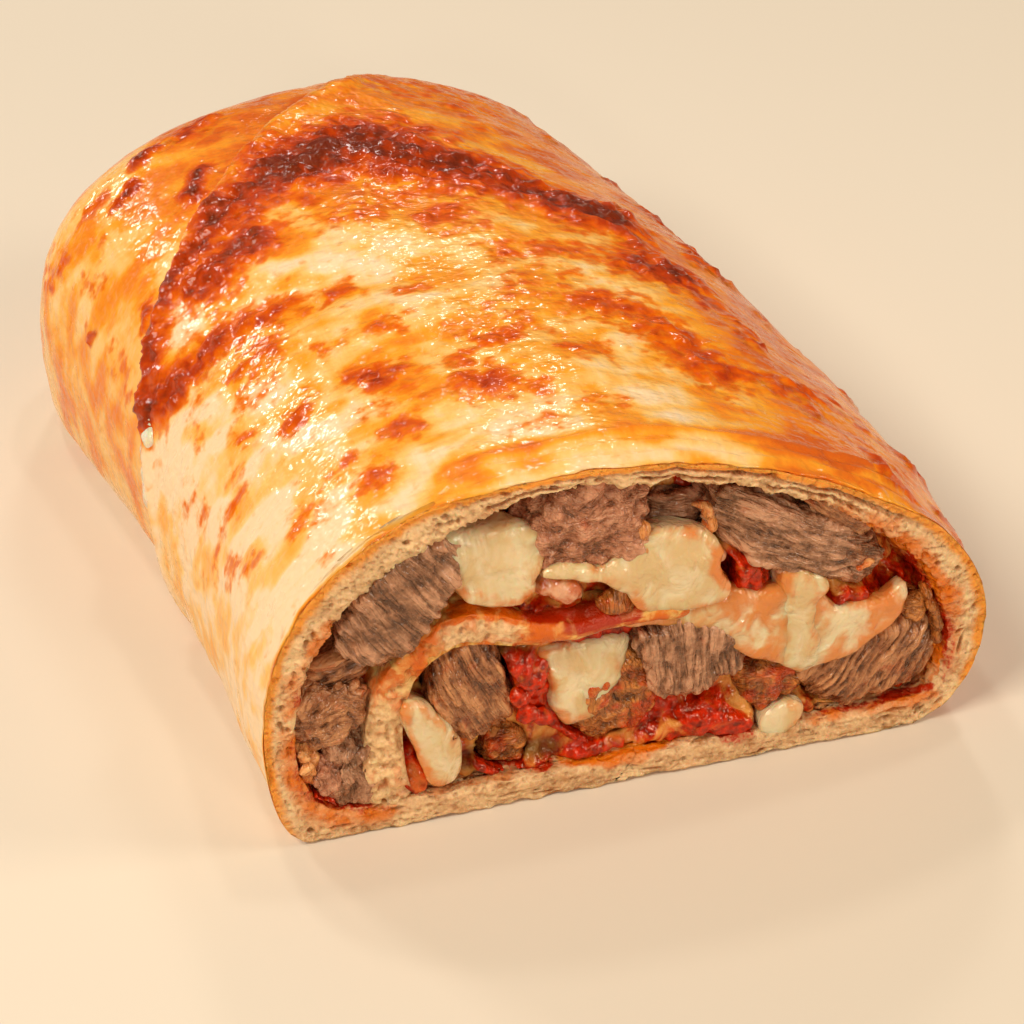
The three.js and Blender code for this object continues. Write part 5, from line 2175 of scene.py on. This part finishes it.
@dataclass(frozen=True)
class SmallLumps:
    """Cooked onion, a knob of fat, a frayed end of beef, pale flakes and a drop of sauce."""

    cell: float = 0.35
    lumps: tuple[SmallLump, ...] = (
        SmallLump("bit_left", Slot.ONION, Dressing.ONION, (
            Ball((-13.8, 3.6, 47.4), (6.6, 5.6, 5.4), -24.0), Ball((-11.6, 4.2, 46.0), (3.6, 4.4, 3.6)),
            Ball((-17.6, 4.8, 47.8), (3.4, 4.6, 3.6)), Ball((-15.8, 5.4, 49.8), (4.2, 4.0, 2.6), 10.0),
        ), "onion_left"),
        SmallLump("bit_orange", Slot.ONION, Dressing.GLAZED, (
            Ball((-3.9, 3.4, 42.2), (5.6, 5.6, 5.6)), Ball((-1.9, 3.6, 40.6), (3.6, 4.4, 4.4)),
            Ball((-6.0, 4.0, 41.6), (2.8, 4.0, 3.4)), Ball((-3.2, 4.0, 44.6), (3.4, 3.6, 2.4), 20.0),
        ), "onion_orange"),
        SmallLump("bit_right", Slot.ONION, Dressing.GLAZED, (
            Ball((58.0, 4.0, 31.0), (2.6, 5.0, 3.6), 20.0), Ball((59.4, 3.8, 27.4), (2.8, 5.6, 5.0), 24.0),
            Ball((60.8, 3.6, 23.4), (2.6, 5.6, 5.4), 14.0), Ball((61.2, 3.6, 19.6), (2.2, 4.8, 3.6), 4.0),
        ), "onion_right"),
        SmallLump("knob_of_fat", Slot.BEEF, Dressing.FAT, (
            Ball((0.6, 3.2, 57.6), (2.6, 3.6, 4.6), 12.0), Ball((0.9, 3.0, 54.0), (2.4, 3.2, 4.0), -8.0),
        )),
        SmallLump("frayed_end", Slot.BEEF, Dressing.FAT, (
            Ball((14.0, 6.0, 57.6), (2.4, 4.0, 3.6), 20.0), Ball((14.6, 5.6, 54.8), (1.8, 4.0, 4.0), -10.0),
            Ball((12.4, 6.4, 58.8), (3.2, 3.0, 1.6), -14.0),
        )),
        SmallLump("clear_onion", Slot.ONION, Dressing.ONION, (
            Ball((15.6, 4.4, 48.4), (3.8, 3.8, 3.0), -20.0), Ball((13.8, 5.0, 49.6), (2.4, 3.4, 2.4)),
        )),
        SmallLump("pale_flake_upper", Slot.BEEF, Dressing.FAT, (
            Ball((35.4, 1.5, 50.0), (1.6, 1.8, 3.4), 8.0), Ball((36.2, 1.6, 47.8), (1.8, 1.6, 1.6)),
        )),
        SmallLump("pale_flake_right", Slot.BEEF, Dressing.FAT, (
            Ball((45.0, 2.2, 41.6), (2.4, 2.4, 1.6), 24.0), Ball((43.2, 2.0, 40.8), (1.8, 2.2, 1.4)),
        )),
        SmallLump("sauce_drop_low", Slot.SAUCE, Dressing.SAUCE, (
            Ball((-18.0, 2.6, 18.4), (3.6, 4.0, 3.2), -20.0),
            Ball((-21.0, 2.4, 20.2), (4.4, 4.0, 3.6), 30.0), Ball((-22.2, 2.8, 23.8), (4.8, 4.0, 4.6)),
        )),
    )

    def build(self) -> list[Piece]:
        """Builds and dresses the lumps.

        Returns:
            The pieces.
        """
        OnionFinish().make()
        pieces = []
        for number, lump in enumerate(self.lumps):
            mesh = run_together(lump.name, lump.balls, self.cell, 5)
            places = local_places(mesh)
            noise = Unevenness(400 + number)
            near, _, _ = noise.nodules(places, 2.4)
            rise = 0.4 * noise.at(places, 4.0) + 0.5 * (0.5 - near) + 0.15 * noise.rough(places, 1.2, 2)
            moved = places + normals_of(mesh) * rise[:, None]
            moved[:, 1] = held_behind(moved[:, 1], 0.1)
            move_points(mesh, moved)
            none = np.zeros(len(places))
            # Painted light and shade: paler where the nodules stand out, darker between them.
            ridge = np.clip(0.75 - 0.4 * near, 0.0, 1.0)
            keep_numbers(mesh, {"ridge": ridge, "strand": places * MM, "cheesy": none, "hidden": none})
            finish = bpy.data.materials[lump.dressing.value]
            pieces.append(add_piece(mesh, finish, (lump.node,) if lump.node else ()))
        return pieces


@dataclass(frozen=True)
class LeakedCheese:
    """A tongue of cheese that ran out under the sheet's edge, down the left of the crust."""

    steps: tuple[Triple, ...] = (
        (-70.0, 90.0, 6.0), (-73.0, 89.6, 9.0), (-77.0, 88.6, 10.0), (-81.0, 87.4, 8.6), (-85.0, 86.0, 6.0),
    )

    def build(self) -> Piece:
        """Builds and dresses the tongue.

        Returns:
            The piece.
        """
        balls = []
        for turn, y, width in self.steps:
            place = ROLL.on_crust(np.array([turn]), np.array([y]), 0.4)[0]
            balls.append(Ball(tuple(float(part) for part in place), (4.4, width, 7.0)))
        mesh = run_together("leaked_cheese", tuple(balls), 0.5, 8)
        places = local_places(mesh)
        rise = 0.5 * Unevenness(450).at(places, 5.0) + 0.2 * Unevenness(451).at(places, 2.0)
        move_points(mesh, places + normals_of(mesh) * rise[:, None])
        keep_numbers(mesh, {"edge": np.zeros(len(places))})
        whiter = CheeseFinish("seam_cheese", paint(250, 228, 198), paint(246, 214, 172), paint(236, 170, 96))
        return add_piece(mesh, whiter.make())


# ---- studio


@dataclass(frozen=True)
class Softbox:
    """One soft light: where it stands and what it lights, in metres from the cut's middle."""

    name: str
    place: Triple
    width: float
    power: float
    colour: Triple = (1.0, 1.0, 1.0)
    target: Triple = (0.0, 0.06, 0.04)

    def hang(self) -> None:
        """Puts the light into the scene, facing its target."""
        data = bpy.data.lights.new(self.name, "AREA")
        data.shape = "SQUARE"
        data.size = self.width
        data.energy = self.power
        data.color = self.colour
        light = into_scene(self.name, data)
        light.location = Vector(ROLL.origin()) + Vector(self.place)
        facing = Vector(self.target) - Vector(self.place)
        light.rotation_euler = facing.to_track_quat("-Z", "Y").to_euler()


@dataclass(frozen=True)
class Studio:
    """The plain pale floor and the soft light."""

    floor_size: float = 8.0
    daylight: Triple = (1.0, 0.93, 0.82)
    daylight_strength: float = 0.12
    lights: tuple[Softbox, ...] = (
        Softbox("key_light", (-0.75, -0.35, 1.05), 0.5, 12.0, (1.0, 0.96, 0.9)),
        Softbox("left_window", (-0.76, 1.12, 0.6), 0.22, 4.5),
        Softbox("back_window", (0.33, 1.15, 0.95), 0.16, 2.6),
        Softbox("top_spark", (-0.25, 0.75, 1.3), 0.12, 2.4),
        Softbox("high_spark", (0.35, 0.3, 1.5), 0.1, 1.8),
        Softbox("front_light", (0.25, -1.2, 0.5), 0.2, 2.2, (1.0, 0.96, 0.9)),
        Softbox("front_spark", (-0.5, -1.1, 0.7), 0.1, 1.6),
        Softbox("low_spark", (0.3, -1.0, 0.22), 0.09, 1.0),
        Softbox("right_light", (1.1, -0.3, 0.6), 0.4, 6.0, (1.0, 0.93, 0.84)),
    )

    def build(self) -> None:
        """Builds the floor, the lights and the sky."""
        shape = bmesh.new()
        bmesh.ops.create_grid(shape, x_segments=2, y_segments=2, size=self.floor_size / 2.0)
        mesh = mesh_of(shape, "floor")
        mesh.materials.append(FloorFinish().make())
        floor = into_scene("floor", mesh)
        for softbox in self.lights:
            softbox.hang()
        world = bpy.data.worlds.new("soft_daylight")
        world.use_nodes = True
        background = world.node_tree.nodes["Background"]
        background.inputs["Color"].default_value = (*self.daylight, 1.0)
        background.inputs["Strength"].default_value = self.daylight_strength
        bpy.context.scene.world = world
        bpy.context.scene.view_settings.view_transform = "Standard"


# ---- the whole


def faces_in(piece: Piece) -> int:
    """Triangles in a piece."""
    return sum(len(face.vertices) - 2 for face in piece.data.polygons)


def main() -> None:
    """Builds the object, its stage and its camera."""
    logging.basicConfig(level=logging.INFO, format="%(message)s", stream=sys.stdout)
    VIEW.set_camera()
    Studio().build()
    pieces = [Crust().build(), Crumb().build(), Fold().build()]
    pieces += SauceMass().build()
    pieces += BeefChunks().build()
    pieces += Melts().build()
    pieces += SmallLumps().build()
    pieces.append(LeakedCheese().build())
    for piece in pieces:
        log.info("%s: %d triangles", piece.name, faces_in(piece))


if __name__ == "__main__":
    main()
